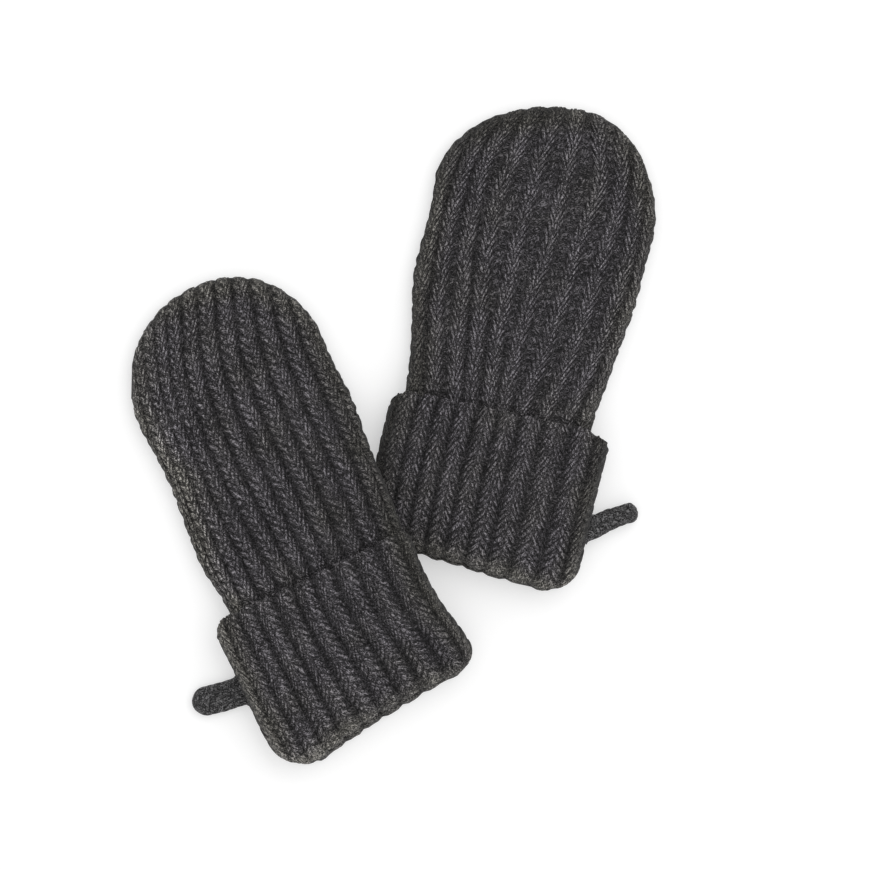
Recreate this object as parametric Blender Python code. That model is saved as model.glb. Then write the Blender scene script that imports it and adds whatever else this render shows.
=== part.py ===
"""A pair of ribbed baby mittens, laid flat, the left one lying on a corner of the right one's cuff.

Each mitten is five pieces of one knitted tube: hand back, hand palm, cuff back, cuff palm and a
hanging loop. A piece is worked out in its mitten's own frame in millimetres: x across the hand,
y from the cuff towards the finger tip, z up from the table. The cuff is turned up, so its two
layers share one solid with a round fold at the mouth and a lip that the hand slips under.
"""

import functools
import math
from collections import namedtuple

import bmesh
import bpy
import numpy as np

MM = 0.001

# The knitted wall, in mm.
GAP = 0.35  # air between two pieces that touch
HAND_PLANE = 3.2  # height of the parting between palm and back in the hand
CUFF_PLANE = 5.8  # the same parting inside the cuff, which lies on its own turned-up layer
BACK_WALL = 2.5  # back wall at the bottom of a valley
HELD_WALL = 2.2  # hand wall where the cuff's lip holds it
LIP_WALL = 2.5  # cuff wall outside the held hand, at the bottom of a valley
RIB_RISE = 1.2  # crest of a rib above its valleys
RIB_SHARE = 0.84  # part of the rib pitch that a rib takes
WIDEST_RIB = 5.4  # a rib's own width never exceeds this: the valley opens instead
EDGE_RIM = 0.35  # height of the upright rim round a panel's edge

# How the walls round off, in mm.
HAND_ROLL = 3.2  # width of the round side of the hand
CUFF_ROLL = 4.2  # width of the round side of the cuff
RIB_FADE = 2.6  # ribs gain their height over this distance from the edge
RIM_RISE = 0.7  # so much of that distance is already behind at the edge itself
LIP_CLEAR = (0.4, 4.5)  # above the lip, the hand is free of it and full over this stretch
TIP_BUMP = 0.5  # how far a rib's end stands out of the round tip
HELD_DEPTH = 5.0  # how deep the hand slips under the cuff's lip
CLOSED_DEPTH = 1.0  # the same at the cuff's sides, where the lip is closed
SLIP_ROOM = 0.45  # free room beside the held hand
SHARE_STEP = 0.007  # the slot's side, as a share of the cuff's width
LIP_ROUND = 0.6  # radius of the cuff's upper edge
LIP_BUMP = 0.3  # how far a rib's end stands out of that edge
CUFF_STEP = 13.0  # length over which the hand climbs onto the cuff
NOSE_LENGTH = 2.6  # length of the round fold at the mouth

# Rows of the panels, in mm: above the cuff's lip, and below the finger tip.
ROWS_OVER_LIP = (-HELD_DEPTH, 0.4, 2.5, 5.5, 9.0, 13.5)
ROWS_UNDER_TIP = (4.5, 2.2, 0.9, 0.2, 0.0)
MIDDLE_ROWS = 7
CUFF_ROWS = (0.04, 0.22, 0.42, 0.62, 0.81, 1.0)
NOSE_STEPS = 6
PLANE_ROWS = 8
LOOP_EASE = 5.0  # the loop's root follows the cuff's side over this length
LANE_GAP = 0.3  # least distance between two lanes that crowd at the side
CROWDED = 8  # so many lanes may crowd there
LANE_STEP = 1.0  # least distance between the ends of two lanes, along the outline
LANE_BEND = 6.0  # length over which a lane turns towards its end
LANE_SEARCH = 12.0  # lanes end no further below the shoulder than this

# The lanes of one rib: how far across it they run, and how far they rise.
LaneMark = namedtuple("LaneMark", "across rise")
RIB_MARKS = (LaneMark(-1, 0), LaneMark(-0.45, 1), LaneMark(0.45, 1), LaneMark(1, 0))
ALL_LANES, PLAIN_LANES, FOOT_LANES = 1, 2, 4  # every lane, every second one, one for each rib

SideRow = namedtuple("SideRow", "height left right")
RibRow = namedtuple("RibRow", "tip upper middle lower wrist")
Sides = namedtuple("Sides", "left right")
EdgeRow = namedtuple("EdgeRow", "left middle right")
Corners = namedtuple("Corners", "lip_left lip_right fold_left fold_right")
LoopRow = namedtuple("LoopRow", "along half_width low high")
Mitten = namedtuple(
    "Mitten",
    "name place turn tip shoulder fullness hand_sides rib_lines"
    " cuff_sides cuff_ribs lip fold corners peek loop_root loop_turn loop_rows",
)

RIB_HEIGHTS = RibRow(tip=69.0, upper=51.0, middle=33.0, lower=6.0, wrist=-20.0)

LEFT = Mitten(
    name="left",
    place=(-26.9, -22.2),
    turn=20.0,
    tip=(-5.0, 74.0),
    shoulder=Sides(left=42.0, right=46.0),
    fullness=Sides(left=2.08, right=2.0),
    hand_sides=(
        SideRow(-27.0, -31.8, 24.6),
        SideRow(-20.5, -31.5, 24.9),
        SideRow(-15.5, -32.4, 25.6),
        SideRow(-8.0, -34.4, 25.8),
        SideRow(6.0, -35.2, 25.2),
        SideRow(20.0, -35.0, 24.8),
        SideRow(30.0, -36.4, 24.4),
        SideRow(38.0, -37.6, 23.5),
        SideRow(46.0, -37.9, 22.7),
    ),
    # One row for each rib, from the left side to the right: where its middle line runs.
    rib_lines=(
        RibRow(-28.5, -33.0, -33.8, -34.0, -31.2),
        RibRow(-24.8, -29.3, -30.4, -31.0, -28.9),
        RibRow(-21.0, -25.8, -27.1, -26.8, -24.5),
        RibRow(-16.6, -21.8, -23.2, -21.5, -18.2),
        RibRow(-11.7, -16.6, -18.0, -15.6, -12.2),
        RibRow(-6.2, -10.9, -11.9, -9.5, -6.7),
        RibRow(-0.7, -5.0, -5.4, -3.3, -1.3),
        RibRow(4.8, 1.3, 1.0, 3.1, 4.2),
        RibRow(10.5, 7.8, 7.2, 9.4, 10.2),
        RibRow(16.0, 14.0, 14.0, 15.9, 16.4),
        RibRow(20.0, 19.0, 20.0, 21.4, 21.6),
        RibRow(23.0, 22.0, 23.4, 24.6, 24.6),
    ),
    cuff_sides=(
        SideRow(-76.0, -31.8, 34.8),
        SideRow(-66.0, -33.2, 34.2),
        SideRow(-57.0, -34.6, 33.5),
        SideRow(-48.0, -35.5, 31.6),
        SideRow(-39.0, -36.2, 29.1),
        SideRow(-30.0, -37.1, 27.7),
        SideRow(-15.0, -37.4, 27.1),
    ),
    cuff_ribs=(3.6, 4.7, 5.5, 6.4, 6.5, 6.8, 7.0, 6.9, 7.9, 7.3, 3.4),
    lip=EdgeRow(-21.8, -19.6, -15.3),
    fold=EdgeRow(-74.9, -66.5, -61.1),
    corners=Corners(lip_left=4.5, lip_right=2.0, fold_left=11.5, fold_right=6.0),
    peek=1.1,
    loop_root=(-36.1, -45.4),
    loop_turn=173.5,
    loop_rows=(
        LoopRow(0.0, 3.5, 0.5, 4.0),
        LoopRow(3.0, 3.9, 0.1, 3.8),
        LoopRow(6.5, 4.4, 0.0, 3.7),
        LoopRow(10.5, 4.6, 0.0, 3.7),
        LoopRow(13.2, 3.9, 0.0, 3.6),
        LoopRow(15.0, 2.4, 0.3, 3.3),
        LoopRow(15.6, 0.7, 1.0, 2.6),
    ),
)

RIGHT = Mitten(
    name="right",
    place=(37.7, 27.4),
    turn=-13.0,
    tip=(3.0, 72.2),
    shoulder=Sides(left=44.0, right=38.0),
    fullness=Sides(left=1.9, right=1.95),
    hand_sides=(
        SideRow(-28.0, -30.4, 26.5),
        SideRow(-21.0, -30.4, 26.4),
        SideRow(-16.5, -30.8, 26.5),
        SideRow(-7.5, -32.0, 27.8),
        SideRow(1.5, -33.7, 28.8),
        SideRow(10.0, -35.4, 29.9),
        SideRow(24.0, -35.6, 30.9),
        SideRow(38.0, -35.6, 31.6),
        SideRow(46.0, -36.1, 31.8),
    ),
    rib_lines=(
        RibRow(-27.0, -32.8, -33.5, -32.5, -28.5),
        RibRow(-21.5, -27.5, -29.0, -26.8, -22.2),
        RibRow(-17.0, -22.5, -23.0, -20.0, -15.8),
        RibRow(-11.5, -15.2, -16.8, -14.0, -10.8),
        RibRow(-5.0, -7.2, -7.7, -7.6, -5.6),
        RibRow(1.0, 2.0, 1.4, -0.7, -0.8),
        RibRow(8.0, 12.0, 10.0, 8.0, 4.6),
        RibRow(15.0, 19.0, 18.0, 15.8, 11.4),
        RibRow(20.5, 24.2, 25.5, 23.2, 18.3),
        RibRow(24.5, 28.7, 29.9, 28.0, 23.6),
    ),
    cuff_sides=(
        SideRow(-72.0, -33.4, 31.4),
        SideRow(-60.0, -33.9, 32.2),
        SideRow(-48.0, -34.2, 32.2),
        SideRow(-36.0, -34.4, 32.4),
        SideRow(-20.0, -33.9, 32.5),
    ),
    cuff_ribs=(2.1, 5.8, 5.7, 5.8, 6.3, 6.5, 6.6, 7.2, 8.5, 7.6, 4.4),
    lip=EdgeRow(-21.4, -20.9, -22.2),
    fold=EdgeRow(-66.4, -68.9, -70.4),
    corners=Corners(lip_left=4.0, lip_right=1.4, fold_left=5.0, fold_right=8.0),
    peek=0.7,
    loop_root=(32.75, -48.2),
    loop_turn=31.5,
    loop_rows=(
        LoopRow(0.0, 3.5, 0.6, 5.6),
        LoopRow(3.0, 3.0, 0.1, 5.6),
        LoopRow(7.0, 2.6, 0.0, 5.5),
        LoopRow(11.0, 2.8, 0.0, 5.4),
        LoopRow(13.4, 2.4, 0.1, 5.2),
        LoopRow(14.7, 1.5, 0.6, 4.6),
        LoopRow(15.2, 0.5, 1.6, 3.6),
    ),
)

# The left mitten climbs over the right cuff's corner, in the left mitten's frame.
CLIMB = 9.7
CLIMB_ACROSS = (-12.0, 12.5)
CLIMB_FROM_TIP = (36.0, 9.0)
CLIMB_FROM_MOUTH = (-58.0, -27.0)
# The right cuff is pressed there, beyond a line in the right mitten's frame.
PRESS_SHARE = 0.30
PRESS_POINT = (-24.7, -55.6)
PRESS_TURN = 217.0
PRESS_LENGTH = (-12.0, 1.0)

WOOL = {
    "hand_back": (0.049, 0.048, 0.049),
    "hand_palm": (0.044, 0.043, 0.044),
    "cuff_back": (0.047, 0.046, 0.047),
    "cuff_palm": (0.042, 0.041, 0.042),
    "loop": (0.040, 0.039, 0.041),
}
WOOL_ROUGHNESS = 0.95


def through(stations, values, at):
    """A smooth curve through the values at the rising stations, straight beyond the last ones."""
    stations = np.asarray(stations, float)
    values = np.asarray(values, float)
    at = np.asarray(at, float)
    slopes = np.gradient(values, stations)
    inside = np.clip(at, stations[0], stations[-1])
    i = np.clip(np.searchsorted(stations, inside) - 1, 0, len(stations) - 2)
    length = stations[i + 1] - stations[i]
    t = (inside - stations[i]) / length
    start = values[i] * (1 + 2 * t) + slopes[i] * length * t
    end = values[i + 1] * (3 - 2 * t) - slopes[i + 1] * length * (1 - t)
    curve = start * (1 - t) ** 2 + end * t**2
    beyond = np.where(at < stations[0], slopes[0], slopes[-1]) * (at - inside)
    return curve + beyond


def ease(start, end, at):
    """0 before the start and 1 after the end, with a soft change between."""
    t = np.clip((np.asarray(at, float) - start) / (end - start), 0, 1)
    return t * t * (3 - 2 * t)


def round_off(distance, reach):
    """Height of a quarter round at a distance from its foot, from 0 to 1."""
    t = 1 - np.clip(distance, 0, reach) / reach
    return np.sqrt(1 - t * t)


def side_at(rows, column, height):
    return through([row.height for row in rows], [getattr(row, column) for row in rows], height)


def hand_side(mitten, column, height):
    """The hand's outline: the table up to the shoulder, then a quarter of a full ellipse."""
    shoulder = getattr(mitten.shoulder, column)
    low = side_at(mitten.hand_sides, column, np.minimum(height, shoulder))
    tip_x, tip_y = mitten.tip
    t = np.clip((height - shoulder) / (tip_y - shoulder), 0, 1)
    power = getattr(mitten.fullness, column)
    narrow = (1 - t**power) ** (1 / power)
    return tip_x + (low - tip_x) * narrow


def hand_outline(mitten):
    """Points along the hand's left side, the tip and the right side."""
    sides = []
    for column in ("left", "right"):
        shoulder = getattr(mitten.shoulder, column)
        low = np.linspace(mitten.hand_sides[0].height, shoulder, 120)
        turn = np.linspace(0, math.pi / 2, 160)[1:]
        dome = shoulder + (mitten.tip[1] - shoulder) * np.sin(turn)
        heights = np.concatenate([low, dome])
        sides.append(np.stack([hand_side(mitten, column, heights), heights], 1))
    left, right = sides
    return np.concatenate([left, right[-2::-1]])


def distance_to(outline, x, y):
    """Distance of each point to the nearest stretch of an outline."""
    start, end = outline[:-1], outline[1:]
    run = end - start
    to_point = np.stack([x, y], -1)[..., None, :] - start
    t = np.clip((to_point * run).sum(-1) / np.maximum((run**2).sum(-1), 1e-9), 0, 1)
    away = to_point - t[..., None] * run
    return np.sqrt((away**2).sum(-1)).min(-1)


def cuff_share(mitten, x, y):
    """How far across the cuff a point lies, from 0 at its left side to 1 at its right side."""
    left = side_at(mitten.cuff_sides, "left", y)
    return (x - left) / (side_at(mitten.cuff_sides, "right", y) - left)


def edge_height(edge, share):
    """Height of a cuff edge: a parabola through its left, middle and right."""
    left = edge.left * (1 - share) * (1 - 2 * share)
    middle = edge.middle * 4 * share * (1 - share)
    right = edge.right * share * (2 * share - 1)
    return left + middle + right


def above_lip(mitten, x, y):
    return y - edge_height(mitten.lip, np.clip(cuff_share(mitten, x, y), 0, 1))


def corner_drop(distance, radius):
    """How far a rounded corner of a radius falls back at a distance from the side."""
    return radius * (1 - round_off(distance, radius))


def lie(mitten, x, y, z):
    """Heights as the pair lies: the left mitten climbs over a corner, the right one is pressed."""
    if mitten.name == "left":
        across = ease(*CLIMB_ACROSS, x)
        along = ease(*CLIMB_FROM_TIP, y) * ease(*CLIMB_FROM_MOUTH, y)
        return z + CLIMB * across * along
    turn = math.radians(PRESS_TURN)
    beyond = (x - PRESS_POINT[0]) * math.cos(turn) + (y - PRESS_POINT[1]) * math.sin(turn)
    return z * (1 - PRESS_SHARE * ease(*PRESS_LENGTH, beyond))


def rib_middles(mitten, height):
    """Where the middle line of every rib runs at a height, from the left side to the right."""
    stations = RIB_HEIGHTS[::-1]
    return [through(stations, row[::-1], height) for row in mitten.rib_lines]


def hand_lane(mitten, index, across, height):
    """A line along a rib: across is -1 and 1 at the rib's feet and 0 on its middle line."""
    middles = rib_middles(mitten, height)
    before = middles[index - 1] if index > 0 else 2 * middles[0] - middles[1]
    after = middles[index + 1] if index + 1 < len(middles) else 2 * middles[-1] - middles[-2]
    pitch = middles[index] - before if across < 0 else after - middles[index]
    half = 0.5 * np.minimum(pitch * RIB_SHARE, WIDEST_RIB)
    return middles[index] + across * half


def lane_end(mitten, line):
    """The point where a lane meets the outline of the finger tip."""
    heights = np.linspace(min(mitten.shoulder) - LANE_SEARCH, mitten.tip[1], 400)
    x = line(heights)
    left, right = (hand_side(mitten, column, heights) for column in ("left", "right"))
    room = np.minimum(x - left, right - x)
    after = max(1, int(np.argmax(room <= 0)))
    t = room[after - 1] / (room[after - 1] - room[after])
    height = heights[after - 1] * (1 - t) + heights[after] * t
    return float(line(height)), float(height)


def hand_lanes(mitten, outline):
    """The lanes of a hand panel, from side to side: (line, rise, end point) each."""
    lines, rises, ends = [], [], []
    for index in range(len(mitten.rib_lines)):
        for mark in RIB_MARKS:
            line = functools.partial(hand_lane, mitten, index, mark.across)
            lines.append(line)
            rises.append(mark.rise)
            ends.append(lane_end(mitten, line))
    lines = [
        functools.partial(hand_side, mitten, "left"),
        *lines,
        functools.partial(hand_side, mitten, "right"),
    ]
    rises = [0, *rises, 0]

    steps = np.hypot(*np.diff(outline, axis=0).T)
    run = np.concatenate([[0], np.cumsum(steps)])
    on_dome = run[outline[:, 1] > max(mitten.shoulder)]
    at = [run[np.argmin(np.hypot(*(outline - end).T))] for end in ends]
    at = np.array([on_dome[0], *at, on_dome[-1]])
    for j in range(1, len(at)):
        at[j] = max(at[j], at[j - 1] + LANE_STEP)
    at[-1] = on_dome[-1]
    for j in range(len(at) - 2, -1, -1):
        at[j] = min(at[j], at[j + 1] - LANE_STEP)
    points = np.stack([np.interp(at, run, outline[:, 0]), np.interp(at, run, outline[:, 1])], 1)
    return list(zip(lines, rises, points))


def hand_grid(mitten):
    """The plan of a hand panel: x, y, distance to the outline and rise, for each row and lane."""
    outline = hand_outline(mitten)
    lanes = hand_lanes(mitten, outline)
    last = len(lanes) - 1
    columns = []
    for j, (line, rise, end) in enumerate(lanes):
        lip = edge_height(mitten.lip, cuff_share(mitten, line(mitten.lip.middle), mitten.lip.middle))
        low = lip + np.array(ROWS_OVER_LIP)
        high = end[1] - np.array(ROWS_UNDER_TIP)
        middle = np.linspace(low[-1], high[0], MIDDLE_ROWS + 2)[1:-1]
        y = np.concatenate([low, middle, high])
        x = line(y)
        if 0 < j < last:
            x = x + (end[0] - line(end[1])) * ease(end[1] - LANE_BEND, end[1], y)
            room = LANE_GAP * np.clip((end[1] - y) / LANE_BEND, 0, 1)
            left, right = (hand_side(mitten, column, y) for column in ("left", "right"))
            x = np.clip(x, left + room * min(j, CROWDED), right - room * min(last - j, CROWDED))
        distance = distance_to(outline, x, y)
        distance[-1] = 0
        if j in (0, last):
            distance[:] = 0
        y[-1] += TIP_BUMP * rise
        columns.append((x, y, distance, np.full(len(y), float(rise))))
    return [np.stack(part, 1) for part in zip(*columns)]


def parting(mitten, x, y):
    """Height of the parting between palm and back, which steps up onto the turned-up cuff."""
    down = ease(LIP_CLEAR[0], CUFF_STEP, above_lip(mitten, x, y))
    return CUFF_PLANE + (HAND_PLANE - CUFF_PLANE) * down


def zip_rows(body, near, far):
    """Triangles between two stretches of neighbouring rows; one may have fewer points."""
    i, j = 0, 0
    near_steps, far_steps = len(near) - 1, len(far) - 1
    while i < near_steps or j < far_steps:
        if (i + 1) * far_steps <= (j + 1) * near_steps:
            body.faces.new((near[i], near[i + 1], far[j]))
            i += 1
        else:
            body.faces.new((near[i], far[j + 1], far[j]))
            j += 1


def cap(body, ring):
    """Triangles over a thin end section, whose two sides both run along y."""
    heights = [corner.co.y for corner in ring]
    low, high = heights.index(min(heights)), heights.index(max(heights))
    near = [ring[(low + k) % len(ring)] for k in range((high - low) % len(ring) + 1)]
    far = [ring[(low - k) % len(ring)] for k in range((low - high) % len(ring) + 1)]
    body.faces.new((near[0], near[1], far[1]))
    i, j = 1, 1
    while i + j < len(near) + len(far) - 3:
        if j + 1 == len(far) or (i + 1 < len(near) and near[i + 1].co.y <= far[j + 1].co.y):
            body.faces.new((near[i], near[i + 1], far[j]))
            i += 1
        else:
            body.faces.new((near[i], far[j + 1], far[j]))
            j += 1


def loft(name, rows, lanes_of):
    """A closed body through rows of points; the rows form a ring and the ends are capped.

    lanes_of gives, for each row, the lanes whose points it keeps: a plain row needs few.
    """
    body = bmesh.new()
    corners = [
        {j: body.verts.new(row[j] * MM) for j in lanes} for row, lanes in zip(rows, lanes_of)
    ]
    for i, here in enumerate(corners):
        there = corners[(i + 1) % len(corners)]
        shared = sorted(set(here) & set(there))
        for start, end in zip(shared[:-1], shared[1:]):
            near, far = (
                [row[j] for j in sorted(row) if start <= j <= end] for row in (here, there)
            )
            zip_rows(body, near, far)
    for end in (min(corners[0]), max(corners[0])):
        cap(body, [row[end] for row in corners])
    bmesh.ops.recalc_face_normals(body, faces=body.faces)
    if body.calc_volume(signed=True) < 0:
        bmesh.ops.reverse_faces(body, faces=body.faces)
    mesh = bpy.data.meshes.new(name)
    body.to_mesh(mesh)
    body.free()
    return mesh


def every(count, step):
    """Every so-many-th lane, and the last one."""
    return sorted({*range(0, count, step), count - 1})


def stack(x, y, z):
    return np.stack([x, y, z], -1)


def hand_panel(mitten, part, plan, outer, inner, lanes):
    """A hand panel between its outer surface and its plain inner one."""
    x, y = plan
    outside = stack(x, y, lie(mitten, x, y, outer))
    inside = stack(x, y, lie(mitten, x, y, inner))[::-1]
    count = x.shape[1]
    full, plain = every(count, lanes), every(count, FOOT_LANES)
    kept = [full] * len(outside) + [full] + [plain] * (len(inside) - 2) + [full]
    return loft(f"{mitten.name}_{part}", [*outside, *inside], kept)


def hand_back(mitten):
    """The upper hand panel: plain inside, ribs raised in its outer points."""
    x, y, distance, rise = hand_grid(mitten)
    inner = parting(mitten, x, y) + GAP / 2
    free = ease(*LIP_CLEAR, above_lip(mitten, x, y))
    wall = HELD_WALL + (BACK_WALL - HELD_WALL) * free
    ribs = RIB_RISE * rise * free * ease(-RIM_RISE, RIB_FADE, distance)
    outer = inner + EDGE_RIM + (wall + ribs - EDGE_RIM) * round_off(distance, HAND_ROLL)
    return hand_panel(mitten, "hand_back", (x, y), outer, inner, ALL_LANES)


def hand_palm(mitten):
    """The lower hand panel: its underside lies flat on the table and climbs onto the cuff."""
    x, y, distance, _ = hand_grid(mitten)
    inner = parting(mitten, x, y) - GAP / 2
    held = 1 - ease(LIP_CLEAR[0], CUFF_STEP, above_lip(mitten, x, y))
    under = (CUFF_PLANE - GAP / 2 - HELD_WALL) * held
    outer = inner - EDGE_RIM - (inner - EDGE_RIM - under) * round_off(distance, HAND_ROLL)
    return hand_panel(mitten, "hand_palm", (x, y), outer, inner, PLAIN_LANES)


def cuff_lanes(mitten):
    """Shares across the cuff of its lanes, with their rises, from the widths of its ribs."""
    total = sum(mitten.cuff_ribs)
    shares, rises = [0.0], [0.0]
    start = 0.0
    for width in mitten.cuff_ribs:
        for mark in RIB_MARKS:
            shares.append((start + width * (0.5 + 0.5 * mark.across * RIB_SHARE)) / total)
            rises.append(mark.rise)
        start += width
    return np.array(shares + [1.0]), np.array(rises + [0.0])


def slot_ends(mitten):
    """Shares across the cuff where the slot for the hand begins and ends."""
    held = np.linspace(-HELD_DEPTH, LIP_ROUND, 8)
    low = mitten.lip.left + held
    left = cuff_share(mitten, hand_side(mitten, "left", low) - SLIP_ROOM, low).min()
    low = mitten.lip.right + held
    right = cuff_share(mitten, hand_side(mitten, "right", low) + SLIP_ROOM, low).max()
    return float(left), float(right)


def cuff_section(mitten, shares, rises, reach, wall, peek):
    """The rows of a cuff's closed section: (y, height over the parting, share of the rib rise).

    It runs from the parting up the end of the slot, along the slot, round the lip, down the
    outer layer, round the fold at the mouth and back along the parting.
    """
    corners = mitten.corners
    from_left, from_right = reach
    flat_top = edge_height(mitten.lip, shares)
    top = flat_top - corner_drop(from_left, corners.lip_left)
    top -= corner_drop(from_right, corners.lip_right)
    end = edge_height(mitten.fold, shares) + peek * np.sin(math.pi * shares)
    end += corner_drop(from_left, corners.fold_left) + corner_drop(from_right, corners.fold_right)

    slot_left, slot_right = slot_ends(mitten)
    in_slot = (shares > slot_left - SHARE_STEP / 2) & (shares < slot_right + SHARE_STEP / 2)
    slot_end = np.where(in_slot, flat_top - HELD_DEPTH - SLIP_ROOM, top - CLOSED_DEPTH)
    base = GAP / 2
    slot = base + HELD_WALL + GAP
    full = slot + wall
    rows = [
        (slot_end, base, 0),
        (slot_end, slot, 0),
        (top - LIP_ROUND, slot, 0),
        (top, slot + wall / 4, 0),
        (top + LIP_BUMP * rises, slot + wall * 2 / 3, 0.4),
        (top - LIP_ROUND, slot + wall * 0.95, 0.9),
    ]
    nose = end + NOSE_LENGTH
    for t in CUFF_ROWS:
        rows.append(((top - 2 * LIP_ROUND) * (1 - t) + nose * t, full, 1))
    centre, half = (full + base) / 2, (full - base) / 2
    for k in range(1, NOSE_STEPS + 1):
        turn = math.pi * k / NOSE_STEPS
        round_y = nose - NOSE_LENGTH * math.sin(turn)
        rows.append((round_y, centre + half * math.cos(turn), max(0, math.cos(turn))))
    inside = [
        (nose * (1 - t) + slot_end * t, base, 0)
        for t in np.linspace(0, 1, PLANE_ROWS + 2)[1:-1]
    ]
    return rows, inside, full


def cuff_panel(mitten, part, side, wall, peek, lanes):
    """One side of the turned-up cuff. side is 1 above the parting and -1 below it."""
    shares, rises = cuff_lanes(mitten)
    slot_left, slot_right = slot_ends(mitten)
    steps = [slot_left - SHARE_STEP, slot_left, slot_right, slot_right + SHARE_STEP]
    feet = {float(share) for share in shares[every(len(shares), FOOT_LANES)]} | set(steps)
    full_lanes = {float(share) for share in shares[every(len(shares), lanes)]} | set(steps)
    rises = np.concatenate([rises, np.interp(steps, shares, rises)])
    shares = np.concatenate([shares, steps])
    order = np.argsort(shares)
    shares, rises = shares[order], rises[order]
    if lanes != ALL_LANES:
        rises = rises * 0

    level = mitten.lip.middle
    left, right = (side_at(mitten.cuff_sides, column, level) for column in ("left", "right"))
    reach = (shares * (right - left), (1 - shares) * (right - left))
    nearest = np.minimum(*reach)
    rows, inside, full = cuff_section(mitten, shares, rises, reach, wall, peek)
    ribs = RIB_RISE * rises * ease(-RIM_RISE, RIB_FADE, nearest)
    base = GAP / 2
    rim = EDGE_RIM / (full - base)
    squash = rim + (1 - rim) * round_off(nearest, CUFF_ROLL)
    points = []
    for y, height, rib in [*rows, *inside]:
        left = side_at(mitten.cuff_sides, "left", y)
        x = left + shares * (side_at(mitten.cuff_sides, "right", y) - left)
        z = CUFF_PLANE + side * (base + (height + rib * ribs - base) * squash)
        points.append(stack(x, y, lie(mitten, x, y, z)))
    dense = [j for j, share in enumerate(shares) if float(share) in full_lanes]
    plain = [j for j, share in enumerate(shares) if float(share) in feet]
    kept = [dense] * len(rows) + [plain] * len(inside)
    return loft(f"{mitten.name}_{part}", points, kept)


def cuff_back(mitten):
    """The upper side of the cuff, ribbed."""
    return cuff_panel(mitten, "cuff_back", 1, LIP_WALL, mitten.peek, ALL_LANES)


def cuff_palm(mitten):
    """The lower side of the cuff, whose turned-up layer lies flat on the table."""
    wall = CUFF_PLANE - GAP / 2 - HELD_WALL - GAP
    return cuff_panel(mitten, "cuff_palm", -1, wall, 0.0, PLAIN_LANES)


def hanging_loop(mitten):
    """The short knitted cord folded in two beside the cuff: an oval section along a line."""
    turn = math.radians(mitten.loop_turn)
    along = np.array([math.cos(turn), math.sin(turn)])
    across = np.array([-along[1], along[0]])
    cuff_side = np.array([0.0, math.copysign(1.0, across[1])])
    angles = np.linspace(0, 2 * math.pi, 13)[:-1]
    oval = np.sign(np.cos(angles)) * np.abs(np.cos(angles)) ** 0.8
    height = np.sin(angles)
    rows = []
    for point in range(len(angles)):
        ring = []
        for row in mitten.loop_rows:
            at_cuff = 1 - float(ease(0.0, LOOP_EASE, row.along))
            beside = cuff_side * at_cuff + across * (1 - at_cuff)
            plan = np.array(mitten.loop_root) + along * row.along
            plan = plan + beside * row.half_width * oval[point]
            z = (row.low + row.high) / 2 + height[point] * (row.high - row.low) / 2
            ring.append((plan[0], plan[1], z))
        rows.append(np.array(ring))
    return loft(mitten.name + "_loop", rows, [range(len(mitten.loop_rows))] * len(rows))


def wool_material(part):
    material = bpy.data.materials.new("wool_" + part)
    material.use_nodes = True
    shader = material.node_tree.nodes["Principled BSDF"]
    shader.inputs["Base Color"].default_value = (*WOOL[part], 1)
    shader.inputs["Roughness"].default_value = WOOL_ROUGHNESS
    shader.inputs["Metallic"].default_value = 0
    return material


def place_piece(mitten, part, mesh, material, collection):
    """Puts a piece where its mitten lies on the table."""
    piece = bpy.data.objects.new(f"{mitten.name}_{part}", mesh)
    piece.location = (mitten.place[0] * MM, mitten.place[1] * MM, 0)
    piece.rotation_euler = (0, 0, math.radians(mitten.turn))
    mesh.materials.append(material)
    mesh.shade_smooth()
    mesh.set_sharp_from_angle(angle=math.radians(55))
    collection.objects.link(piece)


def main():
    for old in list(bpy.data.objects):
        bpy.data.objects.remove(old)
    collection = bpy.data.collections.new("baby_mittens")
    bpy.context.scene.collection.children.link(collection)
    makers = {
        "hand_back": hand_back,
        "hand_palm": hand_palm,
        "cuff_back": cuff_back,
        "cuff_palm": cuff_palm,
        "loop": hanging_loop,
    }
    for part, make in makers.items():
        material = wool_material(part)
        for mitten in (LEFT, RIGHT):
            place_piece(mitten, part, make(mitten), material, collection)


main()
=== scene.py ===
"""Looks for a pair of ribbed baby mittens: knitted hands, turned-up cuffs and cord loops.

Each mitten is worked out in its own frame in millimetres, x across the hand, y from the cuff to
the finger tip and z up from the table, from the same sizes as its solids. The knit is raised in
the points themselves: every rib is a column of V stitches and every valley a row of purl bumps.
"""

import math
from collections import namedtuple

import bpy
import numpy as np
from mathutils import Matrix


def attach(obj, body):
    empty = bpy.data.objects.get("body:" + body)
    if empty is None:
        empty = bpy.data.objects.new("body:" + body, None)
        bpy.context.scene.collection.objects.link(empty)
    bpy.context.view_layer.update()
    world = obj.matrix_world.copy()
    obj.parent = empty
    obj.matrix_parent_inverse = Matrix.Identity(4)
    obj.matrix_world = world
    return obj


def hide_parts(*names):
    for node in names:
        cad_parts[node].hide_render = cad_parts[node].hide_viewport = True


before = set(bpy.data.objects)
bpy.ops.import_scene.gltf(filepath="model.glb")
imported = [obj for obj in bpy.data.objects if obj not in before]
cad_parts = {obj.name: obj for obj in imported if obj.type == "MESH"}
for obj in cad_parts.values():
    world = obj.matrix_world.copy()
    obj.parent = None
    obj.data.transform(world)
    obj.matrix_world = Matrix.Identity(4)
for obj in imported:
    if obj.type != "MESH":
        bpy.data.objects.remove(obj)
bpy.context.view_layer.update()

bl_info = {
    "name": "Ribbed baby mittens",
    "version": (1, 0, 0),
    "blender": (4, 5, 0),
    "location": "View3D > Sidebar > Mittens",
    "description": "Knitted surfaces, wool and a stage for a pair of ribbed baby mittens",
    "category": "Object",
}

MM = 0.001

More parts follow.
